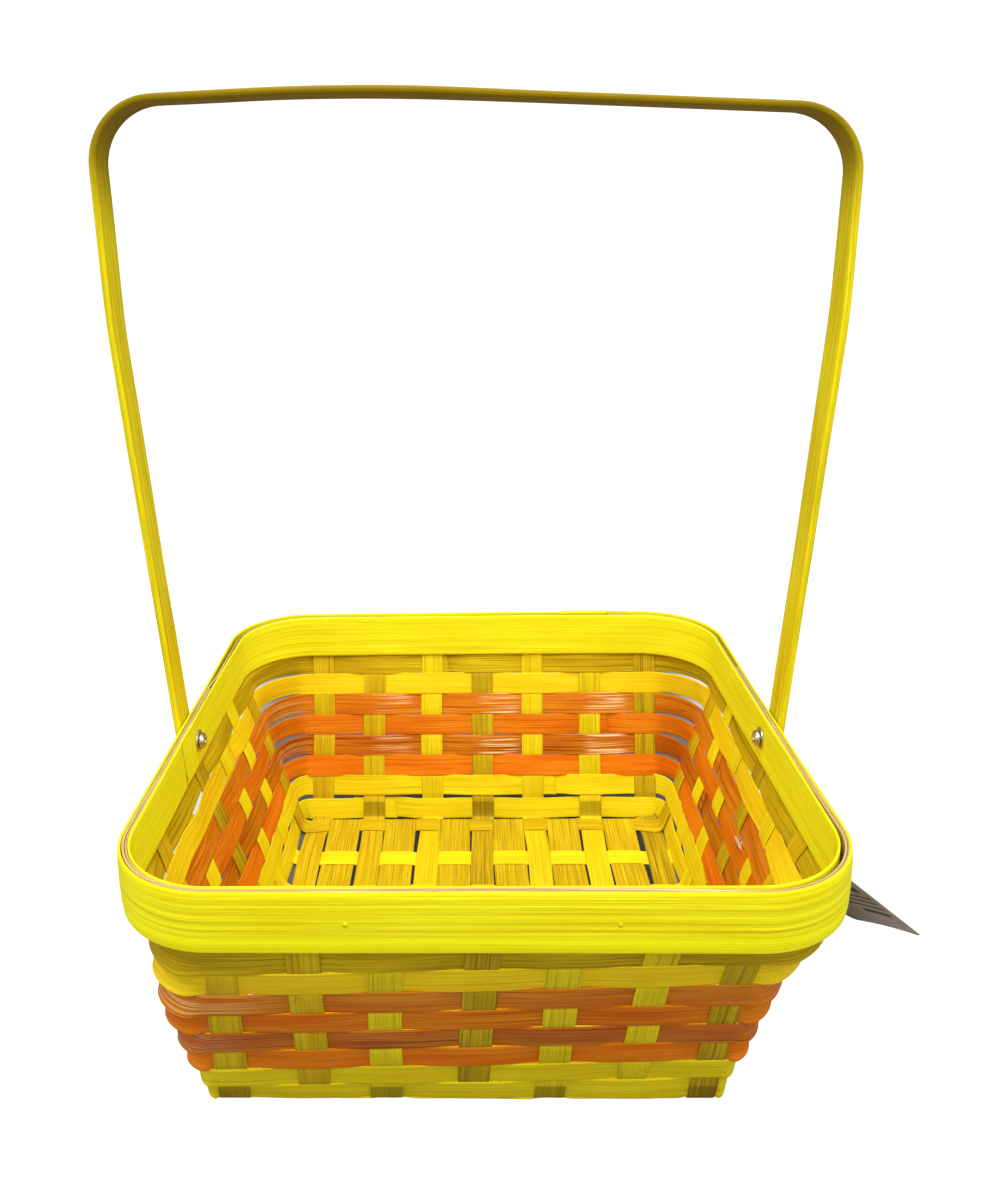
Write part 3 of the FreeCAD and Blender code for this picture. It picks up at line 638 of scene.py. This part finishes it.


# painted highlights on the two orange skin hoops
add_painted_highlights(orange_pale, 0.75)
add_painted_highlights(orange_shiny, 0.9)
HOOP_LOOKS = {1: yellow_dull, 2: yellow_golden, 3: orange_pale, 4: orange, 5: orange_shiny,
              6: orange_bright, 7: yellow_light, 8: yellow_light}
YELLOW, ORANGE = "yellow_strip", "orange_strip"
HOOP_SLOTS = {1: YELLOW, 2: YELLOW, 3: ORANGE, 4: ORANGE, 5: "glossy_orange_strip", 6: ORANGE,
              7: YELLOW, 8: YELLOW}
FRONT, RIGHT, BACK, LEFT = range(4)
# the wall and the stake where each hoop's ends lap, and by how much
LAPS = {1: (BACK, 5), 2: (LEFT, 3), 3: (RIGHT, 6), 4: (BACK, 2), 5: (RIGHT, 6), 6: (LEFT, 5),
        7: (BACK, 3), 8: (BACK, 6)}
LAP = 11.0
CORNER_STEPS = 16
BACK_LIFTS = {7: 0.5, 8: -1.0}          # how much higher a hoop lies at the back
WIDER = {2: 0.5, 3: 0.5, 6: 0.5}        # how much wider than the others a hoop was split
RIBS = {5: (8, 0.16)}                   # the shiny skin has more and deeper ribs
STRAIGHT_END = STAKE_GAP * 3 + STAKE_WIDTH / 2 + 0.5


def hoop_knots(row):
    """The stakes that one turn of a hoop passes, from its lap round to it again, each as (wall,
    place along it, shift from the wall's middle). The shift is half a layer, to the side away
    from the stake."""
    lap_wall, lap_stake = LAPS[row]
    first = lap_wall * STAKES + lap_stake - 1
    knots = []
    for step in range(4 * STAKES + 1):
        wall, index = divmod((first + step) % (4 * STAKES), STAKES)
        number = index + 1 if wall in (FRONT, RIGHT) else STAKES - index
        side = -1 if stake_outside(wall in (FRONT, BACK), number, row) else 1
        knots.append((wall, STAKE_GAP * (index - 3), side * LAYER / 2))
    return knots


def corner_place(wall, place, out):
    """A wall's flat coordinates turned into plan: the front wall faces -Y, the next ones follow
    anticlockwise by quarter turns."""
    quarter = np.round(wall).astype(int) % 4
    cos = np.array([1, 0, -1, 0])[quarter]
    sin = np.array([0, 1, 0, -1])[quarter]
    return cos * place + sin * out, sin * place - cos * out


def build_hoop(row):
    """One hoop. Its way round is built up in even steps as (wall, place along it, shift from the
    wall's middle, degrees still to turn in the corner before that wall). Over a stake it keeps
    its shift, between two it changes as 3t^2 - 2t^3, and its last end rides one layer further
    out over the first. In a corner it stands nearly upright instead of leaning like the wall."""
    level = row_middle(row)
    half = BASE_HALF + WALL_SLOPE * level
    walls, places, shifts, turns = [], [], [], []
    plateau = STAKE_WIDTH / 2 - 0.4

    def add(wall, place, shift, turn=0.0):
        for values, value in zip((walls, places, shifts, turns), (wall, place, shift, turn)):
            values.append(value)

    def add_straight(wall, begin, end, shift):
        for place in np.arange(begin, end, STEP):
            add(wall, place, shift)

    knots = hoop_knots(row)
    add_straight(knots[0][0], knots[0][1] - LAP, knots[0][1] - plateau, knots[0][2])
    for step, (wall, centre, shift) in enumerate(knots):
        last = step == len(knots) - 1
        if step:
            old_wall, old_centre, old_shift = knots[step - 1]
            goal = shift * 3 if last else shift
            if old_wall == wall:
                begin, end = old_centre + plateau, centre - plateau
                if last:
                    end -= LAP - plateau + 1.5
                for s in np.arange(0.0, 1.0, STEP / (end - begin))[1:]:
                    add(wall, begin + (end - begin) * s, old_shift + (goal - old_shift) * ease(s))
                begin = end
            else:
                add_straight(old_wall, old_centre + plateau + STEP, STRAIGHT_END, old_shift)
                for s in np.linspace(0, 1, CORNER_STEPS):
                    add(wall, -STRAIGHT_END, old_shift + (goal - old_shift) * ease(s),
                        -90.0 + 90.0 * s if s < 1 else 0.0)
                begin = STEP - STRAIGHT_END
            if last or old_wall != wall:
                add_straight(wall, begin, centre - plateau, goal)
            shift = goal
        add_straight(wall, centre - plateau, centre + (LAP if last else plateau) + 0.01, shift)
    walls, places = np.array(walls), np.array(places)
    shifts, turns = np.array(shifts), np.radians(np.array(turns))
    in_corner = turns < -1e-9
    mid_corner = np.where(in_corner, ease(1.3 * np.sin(2 * np.abs(turns))), 0.0)
    run = np.arange(len(walls)) * STEP
    at_back = np.where((walls == BACK) | in_corner & (walls > RIGHT), 1.0, 0.0)
    for wall, toward_back in ((RIGHT, places), (LEFT, -places)):
        at_back = np.where((walls == wall) & ~in_corner, ease(toward_back / 60.0), at_back)
    uprighting = 1.1 if row < 7 else 0.5
    lean = WALL_ANGLE * (1.0 - uprighting * mid_corner) + wander(run, 200 + row, 160.0, 0.02)
    level_here = level + wander(run, 300 + row, 190.0, 0.22)
    level_here += BACK_LIFTS.get(row, 0.0) * at_back
    out = half + shifts / math.cos(WALL_ANGLE) + wander(run, 400 + row, 140.0, 0.18)
    if row == 2:
        # a slack stretch of this hoop bows into the basket on the left
        slack = np.exp(-((places - 22.0) / 11.0) ** 2) * (walls == LEFT)
        out -= 1.8 * slack
        lean -= 0.12 * slack
    turned, kept = np.where(in_corner, [np.sin(turns), np.cos(turns)], [[0.0], [1.0]])
    radius = out - STRAIGHT_END
    x, y = corner_place(walls,
                        np.where(in_corner, radius * turned - STRAIGHT_END, places),
                        np.where(in_corner, radius * kept + STRAIGHT_END, out))
    middle = np.stack([x, y, level_here], -1)
    outward = np.stack([*corner_place(walls, turned, kept), np.zeros(len(walls))], -1)
    upright = np.array([0.0, 0.0, 1.0])
    across = outward * np.sin(lean)[:, None] + upright * np.cos(lean)[:, None]
    face = outward * np.cos(lean)[:, None] - upright * np.sin(lean)[:, None]
    width = ROW_WIDTH + WIDER.get(row, 0.0) + wander(run, 500 + row, 210.0, 0.22)
    ridge = ribs(70 + row, *RIBS.get(row, (7, 0.06)))
    make_strip(f"hoop_{row}", middle, across, face, width, STRIP_THICK, HOOP_LOOKS[row],
               HOOP_SLOTS[row], 33 + 3 * row, [f"weaver_row_{row}"], ridge, lean_end=0.8)


for row in range(1, ROWS + 1):
    build_hoop(row)

# ---------------------------------------------------------------- lifted splinters
# On the left wall two thin splinters have split off the orange hoops along their upper edge.
# Each stays joined at both ends and bows out into the basket.


def splinter(name, start, end, bow, width, seed):
    """A thin sliver whose middle line is the chord from start to end, plus the bow vector times
    sin(pi s), and whose width is the given one times sin(pi s) too, so that it ends in points."""
    s = np.linspace(0.0, 1.0, 40)
    start, end, bow = (np.array(a, float) for a in (start, end, bow))
    middle = start + (end - start) * s[:, None] + bow * np.sin(math.pi * s)[:, None]
    along = units(np.gradient(middle, axis=0))
    face = units(np.cross(along, [0.25, 0.0, 1.0]))
    make_strip(name, middle, np.cross(face, along), face, width * (0.15 + np.sin(math.pi * s)),
               0.3, orange_pale, "orange_strip", seed, [], columns=5)


splinter("splinter_upper", (-108.4, 14.0, 53.0), (-107.4, -18.0, 50.6), (4.2, 0.0, 1.6), 0.8, 77)
splinter("splinter_front", (-111.6, -19.0, 62.4), (-110.6, -44.0, 60.8), (3.0, 0.0, 1.2), 0.7, 78)

# ---------------------------------------------------------------- rim
# Two broad bands of bright yellow bamboo hold the top of the wall between them, the outer one
# lapped at the back and the inner one on the left; a narrow natural strip fills the gap between
# their top edges. Small pins hold them together.

RIM_TOP = 103.3
BAND_HEIGHT = 21.1
RIM_HALF = 120.0
RIM_CORNER = 36.0


def square_loop(half, corner, start_wall, start_place, extra, step=1.2):
    """A square with round corners as an open run that begins at a place on one wall, goes once
    round anticlockwise and on by extra: points in plan and outward directions."""
    straight = 2 * (half - corner)
    arc = math.pi / 2 * corner
    around = 4 * (straight + arc)
    begin = start_wall * (straight + arc) + start_place + (half - corner)
    s = np.arange(begin, begin + around + extra, step)
    side = np.floor(s / (straight + arc)).astype(int)
    rest = s - side * (straight + arc)
    on_line = rest < straight
    angle = np.where(on_line, 0.0, (rest - straight) / corner)
    place = np.where(on_line, rest - (half - corner), (half - corner) + corner * np.sin(angle))
    out = np.where(on_line, half, (half - corner) + corner * np.cos(angle))
    return (np.stack(corner_place(side, place, out), -1),
            np.stack(corner_place(side, np.sin(angle), np.cos(angle)), -1), s - begin, around)


def build_band(name, half, corner, start, extra, ride_over, bottom, height, thick, material,
               slot, seed, node, rib_count, rib_height, drop=0.0, columns=25, bulge=0.0,
               camber=0.0, back_rise=0.0, bulge_bearing=-math.pi / 4):
    """A band of the rim: an upright strip round the square, whose last part lies further out
    than its first by ride_over and a little lower by drop. It bulges at one corner, by default
    the right front one, and may rise at the back."""
    plan, outward, run, around = square_loop(half, corner, *start, extra)
    late = ease((run - around + 14.0) / 14.0)
    bearing = np.arctan2(plan[:, 1], plan[:, 0])
    shift = late * ride_over + bulge * np.exp(-((bearing - bulge_bearing) / 0.3) ** 2)
    level = bottom + height / 2 - late * drop + wander(run, seed + 1, 330.0, 0.25)
    level += back_rise * ease((plan[:, 1] - 20.0) / 70.0)
    middle = np.column_stack([plan + outward * shift[:, None], level])
    face = np.column_stack([outward, np.zeros(len(plan))])
    across = np.tile([0.0, 0.0, 1.0], (len(plan), 1))
    make_strip(name, middle, across, face, height, thick, material, slot, seed, [node],
               ribs(seed, rib_count, rib_height), moved=None, lean_end=2.2, columns=columns,
               camber=camber)


rim_yellow = dyed_bamboo("bamboo_rim", (244, 234, 18), (250, 243, 30), (200, 170, 8), lines=0.5,
                         streaks=0.4, ticks=0.25, gloss=0.55, bump=0.35)
build_band("rim_outer", RIM_HALF - 0.55, RIM_CORNER - 0.55, (BACK, -70.0), 24.0, 1.2,
           RIM_TOP - BAND_HEIGHT, BAND_HEIGHT, 1.1, rim_yellow, "rim_band", 601,
           "rim_outer_band", 23, 0.13, bulge=0.6, camber=0.35, columns=47, back_rise=0.9)
# painted light: on the outer band the lower third is painted a brighter yellow, for the light
# that falls there
painted_light_low_down = narrowed(rim_yellow.node_tree, object_axes(rim_yellow.node_tree)["Z"],
                    0.0875, 0.0895, 1.0, 0.0)
paint_shading_over(rim_yellow, painted_light_low_down, (255, 250, 14), 0.6)
# painted light: the inner band takes a lighter copy of the rim's dye, for the brighter light
# inside the basket
rim_yellow_painted_lighter = dyed_bamboo("bamboo_rim_painted_lighter", (248, 246, 28), (252, 251, 38),
                                (204, 180, 8), lines=0.5, streaks=0.4, ticks=0.25, gloss=0.55,
                                bump=0.35)
build_band("rim_inner", RIM_HALF - 3.55, RIM_CORNER - 3.55, (LEFT, 22.0), -1.0, 0.0,
           RIM_TOP - BAND_HEIGHT, BAND_HEIGHT, 0.9, rim_yellow_painted_lighter, "rim_band", 602,
           "rim_inner_band", 15, 0.06, drop=-0.7, bulge=-1.1, bulge_bearing=0.75 * math.pi)
natural = dyed_bamboo("bamboo_natural", (206, 170, 98), (234, 208, 148), (104, 64, 24),
                      lines=0.8, streaks=0.8, gloss=0.55)
build_band("rim_filler_strip", RIM_HALF - 2.62, RIM_CORNER - 2.62, (LEFT, -30.0), 520.0, 0.9,
           RIM_TOP - 7.2, 7.0, 0.85, natural, "natural_strip", 603, "rim_filler", 5, 0.04,
           columns=5, bulge=1.3)

# ---------------------------------------------------------------- rim pins
# Eight small round-headed pins, two through each side of the rim, dyed over with the bands.


def turned_skin(profile, base, axis, segments):
    """A turned shape on a level axis: each point of the profile (along, radius) goes round it,
    so that point = base + axis * along + radius * (side * cos + up * sin). A radius of 0 at
    either end closes it."""
    axis = np.array(axis, float)
    side, up = np.array([-axis[1], axis[0], 0.0]), np.array([0.0, 0.0, 1.0])
    turn = np.linspace(0, 2 * math.pi, segments, endpoint=False)
    spokes = np.cos(turn)[:, None] * side + np.sin(turn)[:, None] * up
    along, radius = np.array(profile, float).T
    points = (np.array(base, float) + axis * along[:, None, None]
              + spokes[None] * radius[:, None, None])
    run = run_along(np.stack([along, radius], -1))
    place = np.stack(np.broadcast_arrays(turn[None, :] * 3.0, run[:, None]), -1)
    return points.reshape(-1, 3), grid_quads(len(along), segments), place.reshape(-1, 2)


def joined(skins):
    """Several skins' points, quads and texture places as one."""
    starts = np.cumsum([0] + [len(points) for points, _, _ in skins[:-1]])
    return (np.concatenate([points for points, _, _ in skins]),
            np.concatenate([quads + start for (_, quads, _), start in zip(skins, starts)]),
            np.concatenate([place for _, _, place in skins]))


def close_poles(piece):
    """Merges the rings of no radius at a turned shape's ends, so that its poles are closed."""
    work = bmesh.new()
    work.from_mesh(piece.data)
    bmesh.ops.remove_doubles(work, verts=work.verts, dist=1e-7)
    bmesh.ops.dissolve_degenerate(work, edges=work.edges, dist=1e-8)
    bmesh.ops.recalc_face_normals(work, faces=work.faces)
    work.to_mesh(piece.data)
    work.free()
    piece.data.shade_smooth()


PIN_PLACE = 41.55
PIVOT_LEVEL = 92.7
pin_profile = [(0.42, 0.0), (0.38, 0.3), (0.27, 0.6), (0.08, 0.86), (-0.1, 0.9), (-0.1, 0.45),
               (-4.3, 0.45), (-4.45, 0.3), (-4.5, 0.0)]
pins = []
for wall in range(4):
    for place in (-PIN_PLACE, PIN_PLACE):
        x, y = corner_place(wall, place, RIM_HALF + 0.35)
        pins.append(turned_skin(pin_profile, (x, y, PIVOT_LEVEL), (*corner_place(wall, 0, 1), 0),
                                16))
pin_dye = dyed_bamboo("dyed_over_pin", (230, 214, 24), (238, 224, 32), (176, 144, 16),
                      gloss=0.45, sheen=0.1)
close_poles(finish_piece("rim_pins", *joined(pins), pin_dye, "basket", "brad_metal",
                         ["rim_brads"]))

# ---------------------------------------------------------------- handle
# One split and bent bamboo strip with rounded edges, dyed like the basket but thicker; the dark
# brown over its bar is painted shade. It swings on a rivet at each foot.

HANDLE_THICK = 2.9
HANDLE_WIDE = 15.0
FOOT = RIM_HALF + 0.4 + HANDLE_THICK / 2
SPREAD = FOOT + 13.4


def bent_line(points, radii):
    """Straight runs through the points with a tangent arc of each radius at its inner point.
    The arc's centre lies on the corner's bisector, at radius / sin(half angle) from it."""
    points = np.array(points, float)
    line = [points[:1]]
    for before, corner, after, radius in zip(points, points[1:], points[2:], radii):
        back, ahead = units(np.array([before, after]) - corner)
        half = math.acos(np.clip(back @ ahead, -1, 1)) / 2
        middle = (back + ahead) / np.linalg.norm(back + ahead)
        centre = corner + middle * radius / math.sin(half)
        first, last = (corner + way * radius / math.tan(half) - centre for way in (back, ahead))
        share = np.linspace(0, 1, 33)[:, None]
        sweep = math.pi - 2 * half
        line.append(centre + (np.sin((1 - share) * sweep) * first + np.sin(share * sweep) * last)
                    / math.sin(sweep))
    return np.concatenate(line + [points[-1:]])


handle_line = even_steps(bent_line(
    [(-FOOT, 82.5), (-FOOT, 97.0), (-SPREAD + 1.2, 262.0), (-SPREAD, 341.1), (-45.0, 343.9),
     (SPREAD, 334.4), (SPREAD - 1.2, 262.0), (FOOT, 97.0), (FOOT, 82.5)],
    [50, 400, 23, 900, 23, 400, 50]), 1.0)
normal = normals_2d(handle_line)
run = np.arange(len(handle_line)) * 1.0
free = ease((handle_line[:, 1] - 110.0) / 60.0)
middle = np.stack([handle_line[:, 0], wander(run, 700, 260.0, 0.5) * free, handle_line[:, 1]], -1)
roll = wander(run, 701, 330.0, 0.03) * free
side_on = np.array([0.0, 1.0, 0.0])
face = np.stack([normal[:, 0], np.zeros(len(run)), normal[:, 1]], -1)
across = side_on * np.cos(roll)[:, None] + face * np.sin(roll)[:, None]
face = face * np.cos(roll)[:, None] - side_on * np.sin(roll)[:, None]
bends = sum(np.exp(-((handle_line - bend) ** 2).sum(axis=1) / 500)
            for bend in ((-128, 334), (128, 328)))


def handle_relief(v, rows):
    """Shallow ridges along the strip, deeper where the bends have crumpled its fibres."""
    dice = np.random.default_rng(702)
    ridge, crumple = (np.interp(v, np.linspace(-1, 1, n), dice.uniform(-1, 1, n))
                      for n in (11, 9))
    return 0.05 * ridge[None, :] + bends[:rows, None] * 0.2 * crumple[None, :]


handle_yellow = dyed_bamboo("bamboo_handle", (244, 222, 18), (250, 234, 26), (132, 94, 10),
                            lines=0.6, streaks=0.5, ticks=0.4, gloss=0.55, bump=0.3)
# painted shade: the colour goes dark brown over the bar and at the bends, for the shade the bar
# stands in
painted_shade_high_up = narrowed(handle_yellow.node_tree, object_axes(handle_yellow.node_tree)["Z"],
                   0.290, 0.336)
paint_shading_over(handle_yellow, painted_shade_high_up, (131, 104, 6), 0.9)
ROUNDED = ((0.0, 0.006, 0.02, 0.045, 0.085), (0.16, 0.46, 0.74, 0.92, 1.0))
make_strip("handle_strip", middle, across, face, HANDLE_WIDE, HANDLE_THICK, handle_yellow,
           "handle_strip", 704, ["handle"], handle_relief, body="handle", moved=None,
           columns=15, edge=ROUNDED)

# ---------------------------------------------------------------- rivets and washers
# A nickelled tubular rivet through each foot of the handle and the rim: domed head outside,
# end rolled over a washer inside, with its hollow showing.


def fine_noise(tree, place, size, detail=2.0):
    """Even noise over a place, or the Object coordinates, with size waves to the metre."""
    place = place or tree.nodes.new("ShaderNodeTexCoord").outputs["Object"]
    noise = tree.nodes.new("ShaderNodeTexNoise")
    noise.inputs["Scale"].default_value = size
    noise.inputs["Detail"].default_value = detail
    tree.links.new(place, noise.inputs["Vector"])
    return noise.outputs["Fac"]


plating, tree, shader = new_finish("nickel_plating")
shader.inputs["Metallic"].default_value = 1.0
tarnish = fine_noise(tree, None, 900.0, 3.0)
tree.links.new(mixed(tree, narrowed(tree, tarnish, 0.4, 0.7),
                     (0.70, 0.67, 0.60), (0.36, 0.31, 0.24)), shader.inputs["Base Color"])
tree.links.new(narrowed(tree, tarnish, 0.3, 0.7, 0.22, 0.45), shader.inputs["Roughness"])
add_relief(tree, tarnish, 0.2, 0.0002)

HEAD_FACE = RIM_HALF + 0.4 + HANDLE_THICK + 0.3
rivet_profile = [(HEAD_FACE + 1.7, 0.0), (HEAD_FACE + 1.65, 1.0), (HEAD_FACE + 1.45, 2.1),
                 (HEAD_FACE + 1.05, 3.1), (HEAD_FACE + 0.55, 3.9), (HEAD_FACE + 0.2, 4.25),
                 (HEAD_FACE, 4.3), (HEAD_FACE - 0.02, 4.1), (HEAD_FACE, 1.7),
                 (115.4, 1.7), (115.4, 2.8), (115.2, 3.2), (114.6, 3.4), (113.9, 3.3),
                 (113.3, 2.9), (113.05, 2.3), (113.1, 1.8), (113.5, 1.35), (114.1, 1.1),
                 (115.2, 1.0), (118.1, 1.0), (118.3, 0.0)]
washer_profile = [(116.0, 1.75), (116.0, 4.5), (115.9, 4.6), (115.55, 4.6), (115.4, 4.45),
                  (115.4, 1.75), (116.0, 1.75)]
for side, sign in (("left", -1), ("right", 1)):
    for name, node, profile in ((f"rivet_turned_{side}", f"rivet_{side}", rivet_profile),
                                (f"washer_{side}", f"rivet_washer_{side}", washer_profile)):
        skin = turned_skin(profile, (0.0, 0.0, PIVOT_LEVEL), (sign, 0.0, 0.0), 48)
        close_poles(finish_piece(name, *skin, plating, "basket", "rivet_metal", [node]))

# ---------------------------------------------------------------- hang tag
# A small printed card with round corners, a little curled, with a punched hole. It leans
# against the right wall and swings on its loop.

TAG_WIDE, TAG_LONG, TAG_THICK, TAG_CORNER = 41.7, 72.0, 0.6, 4.0
HOLE_RADIUS, HOLE_INSET = 1.6, 4.5


def turn_about(axis, degrees):
    """The matrix of a turn about one axis."""
    return np.array(Matrix.Rotation(math.radians(degrees), 3, axis))


tag_turn = turn_about("Z", 113.45) @ turn_about("Y", 23.83) @ turn_about("X", 44.46)
tag_foot = np.array([180.1, -25.0, 17.4])
# the outline as even steps round the rounded rectangle, seen from the hole
half_w, half_l = TAG_WIDE / 2, TAG_LONG / 2
corner_turn = np.linspace(0, math.pi / 2, 9)
outline = np.concatenate([
    np.stack([sx * (half_w - TAG_CORNER) + TAG_CORNER * np.cos(corner_turn + start),
              sy * (half_l - TAG_CORNER) + TAG_CORNER * np.sin(corner_turn + start)], -1)
    for sx, sy, start in ((1, 1, 0.0), (-1, 1, math.pi / 2), (-1, -1, math.pi),
                          (1, -1, 1.5 * math.pi))])
closed_outline = np.concatenate([outline, outline[:1]])
outline_run = run_along(closed_outline)
at = np.linspace(0, outline_run[-1], 161)[:-1]
outline = np.stack([np.interp(at, outline_run, closed_outline[:, k]) for k in (0, 1)], -1)
outline += np.array([half_w, half_l])
hole = np.array([half_w, TAG_LONG - HOLE_INSET])
ray = outline - hole
reach = np.linalg.norm(ray, axis=1)[:, None]
ray /= reach
# a section from the hole to the edge over the top face and back under it; the texture places of
# the top, the underside and the edges lie apart
FACE_RINGS = 15
depth = np.linspace(0.0, 1.0, FACE_RINGS)[None, :] ** 1.3
face_places = HOLE_RADIUS + 0.12 + (reach - HOLE_RADIUS - 0.24) * depth
at_hole = np.full_like(reach, HOLE_RADIUS)
section = np.concatenate([face_places, reach, reach, face_places[:, ::-1], at_hole, at_hole], 1)
rise = np.array([0.5] * FACE_RINGS + [0.28, -0.28] + [-0.5] * FACE_RINGS + [-0.28, 0.28])
apart = np.array([0.0] * FACE_RINGS + [300.0] * 2 + [100.0] * FACE_RINGS + [300.0] * 2)
flat_xy = hole + ray[:, None, :] * section[..., None]
curl = 0.8 * ((flat_xy[..., 0] - half_w) / half_w) ** 2 * (1 - flat_xy[..., 1] / TAG_LONG)
local = np.concatenate([flat_xy, (rise * TAG_THICK - curl)[..., None]], -1)
points = tag_foot + local.reshape(-1, 3) @ tag_turn.T
quads = grid_quads(*section.shape, closed=True)
place = flat_xy + apart[None, :, None] * [1, 0]

card, tree, shader = new_finish("printed_card")
uv = tree.nodes.new("ShaderNodeUVMap")
uv.uv_map = "grain"
paper = fine_noise(tree, uv.outputs["UV"], 1400.0, 4.0)
smudge = fine_noise(tree, uv.outputs["UV"], 45.0)
axes = tree.nodes.new("ShaderNodeSeparateXYZ")
tree.links.new(uv.outputs["UV"], axes.inputs[0])
card_u, card_v = axes.outputs["X"], axes.outputs["Y"]


def band_mask(value, low, high, soft=0.0003):
    """1 between low and high and 0 outside, with soft edges."""
    return calculate(tree, "MULTIPLY", narrowed(tree, value, low - soft, low + soft),
                     narrowed(tree, value, high - soft, high + soft, 1.0, 0.0))


colour = mixed(tree, narrowed(tree, smudge, 0.35, 0.65),
               linear(200, 186, 168), linear(216, 208, 196))
# the top's texture places lie below 0.06, the underside's start at 0.1, the edges' at 0.3
is_top = narrowed(tree, card_u, 0.060, 0.061, 1.0, 0.0)
colour = mixed(tree, is_top, colour, linear(214, 206, 188))
# both faces are printed alike, with bars and a block given as left, right, low and high
folded = calculate(tree, "MODULO", card_u, 0.1)
for left, end, low, high in (
        (0.005, 0.021, 0.012, 0.0150), (0.004, 0.032, 0.0175, 0.019),
        (0.005, 0.028, 0.0215, 0.023), (0.004, 0.035, 0.0255, 0.027),
        (0.006, 0.024, 0.030, 0.0345), (0.004, 0.036, 0.037, 0.0385),
        (0.004, 0.030, 0.041, 0.0425), (0.008, 0.034, 0.047, 0.058)):
    block = calculate(tree, "MULTIPLY", band_mask(folded, left, end),
                      band_mask(card_v, low, high))
    colour = mixed(tree, block, colour, linear(40, 34, 28), 0.85)
is_edge = narrowed(tree, card_u, 0.170, 0.171)
colour = mixed(tree, is_edge, colour, linear(255, 255, 252))
colour = mixed(tree, narrowed(tree, paper, 0.45, 0.75), colour, linear(96, 88, 78), 0.15)
tree.links.new(colour, shader.inputs["Base Color"])
tree.links.new(narrowed(tree, paper, 0.3, 0.7, 0.42, 0.6), shader.inputs["Roughness"])
add_relief(tree, paper, 0.15, 0.0002)
finish_piece("tag_card", points, quads, place.reshape(-1, 2), card, "tag", "tag_card",
             ["hang_tag"])

# ---------------------------------------------------------------- tag loop
# A thin ring of clear plastic through the tag's hole, with a stem through the slit between two
# hoops and a cross bar inside that keeps it there.

clear, tree, shader = new_finish("clear_plastic")
shader.inputs["Transmission Weight"].default_value = 0.75
shader.inputs["IOR"].default_value = 1.46
flow = fine_noise(tree, None, 600.0)
tree.links.new(mixed(tree, flow, (0.86, 0.88, 0.86), (0.95, 0.96, 0.95)),
               shader.inputs["Base Color"])
tree.links.new(narrowed(tree, flow, 0.3, 0.7, 0.12, 0.3), shader.inputs["Roughness"])
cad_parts["tag_loop"].data.materials.clear()
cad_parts["tag_loop"].data.materials.append(clear)
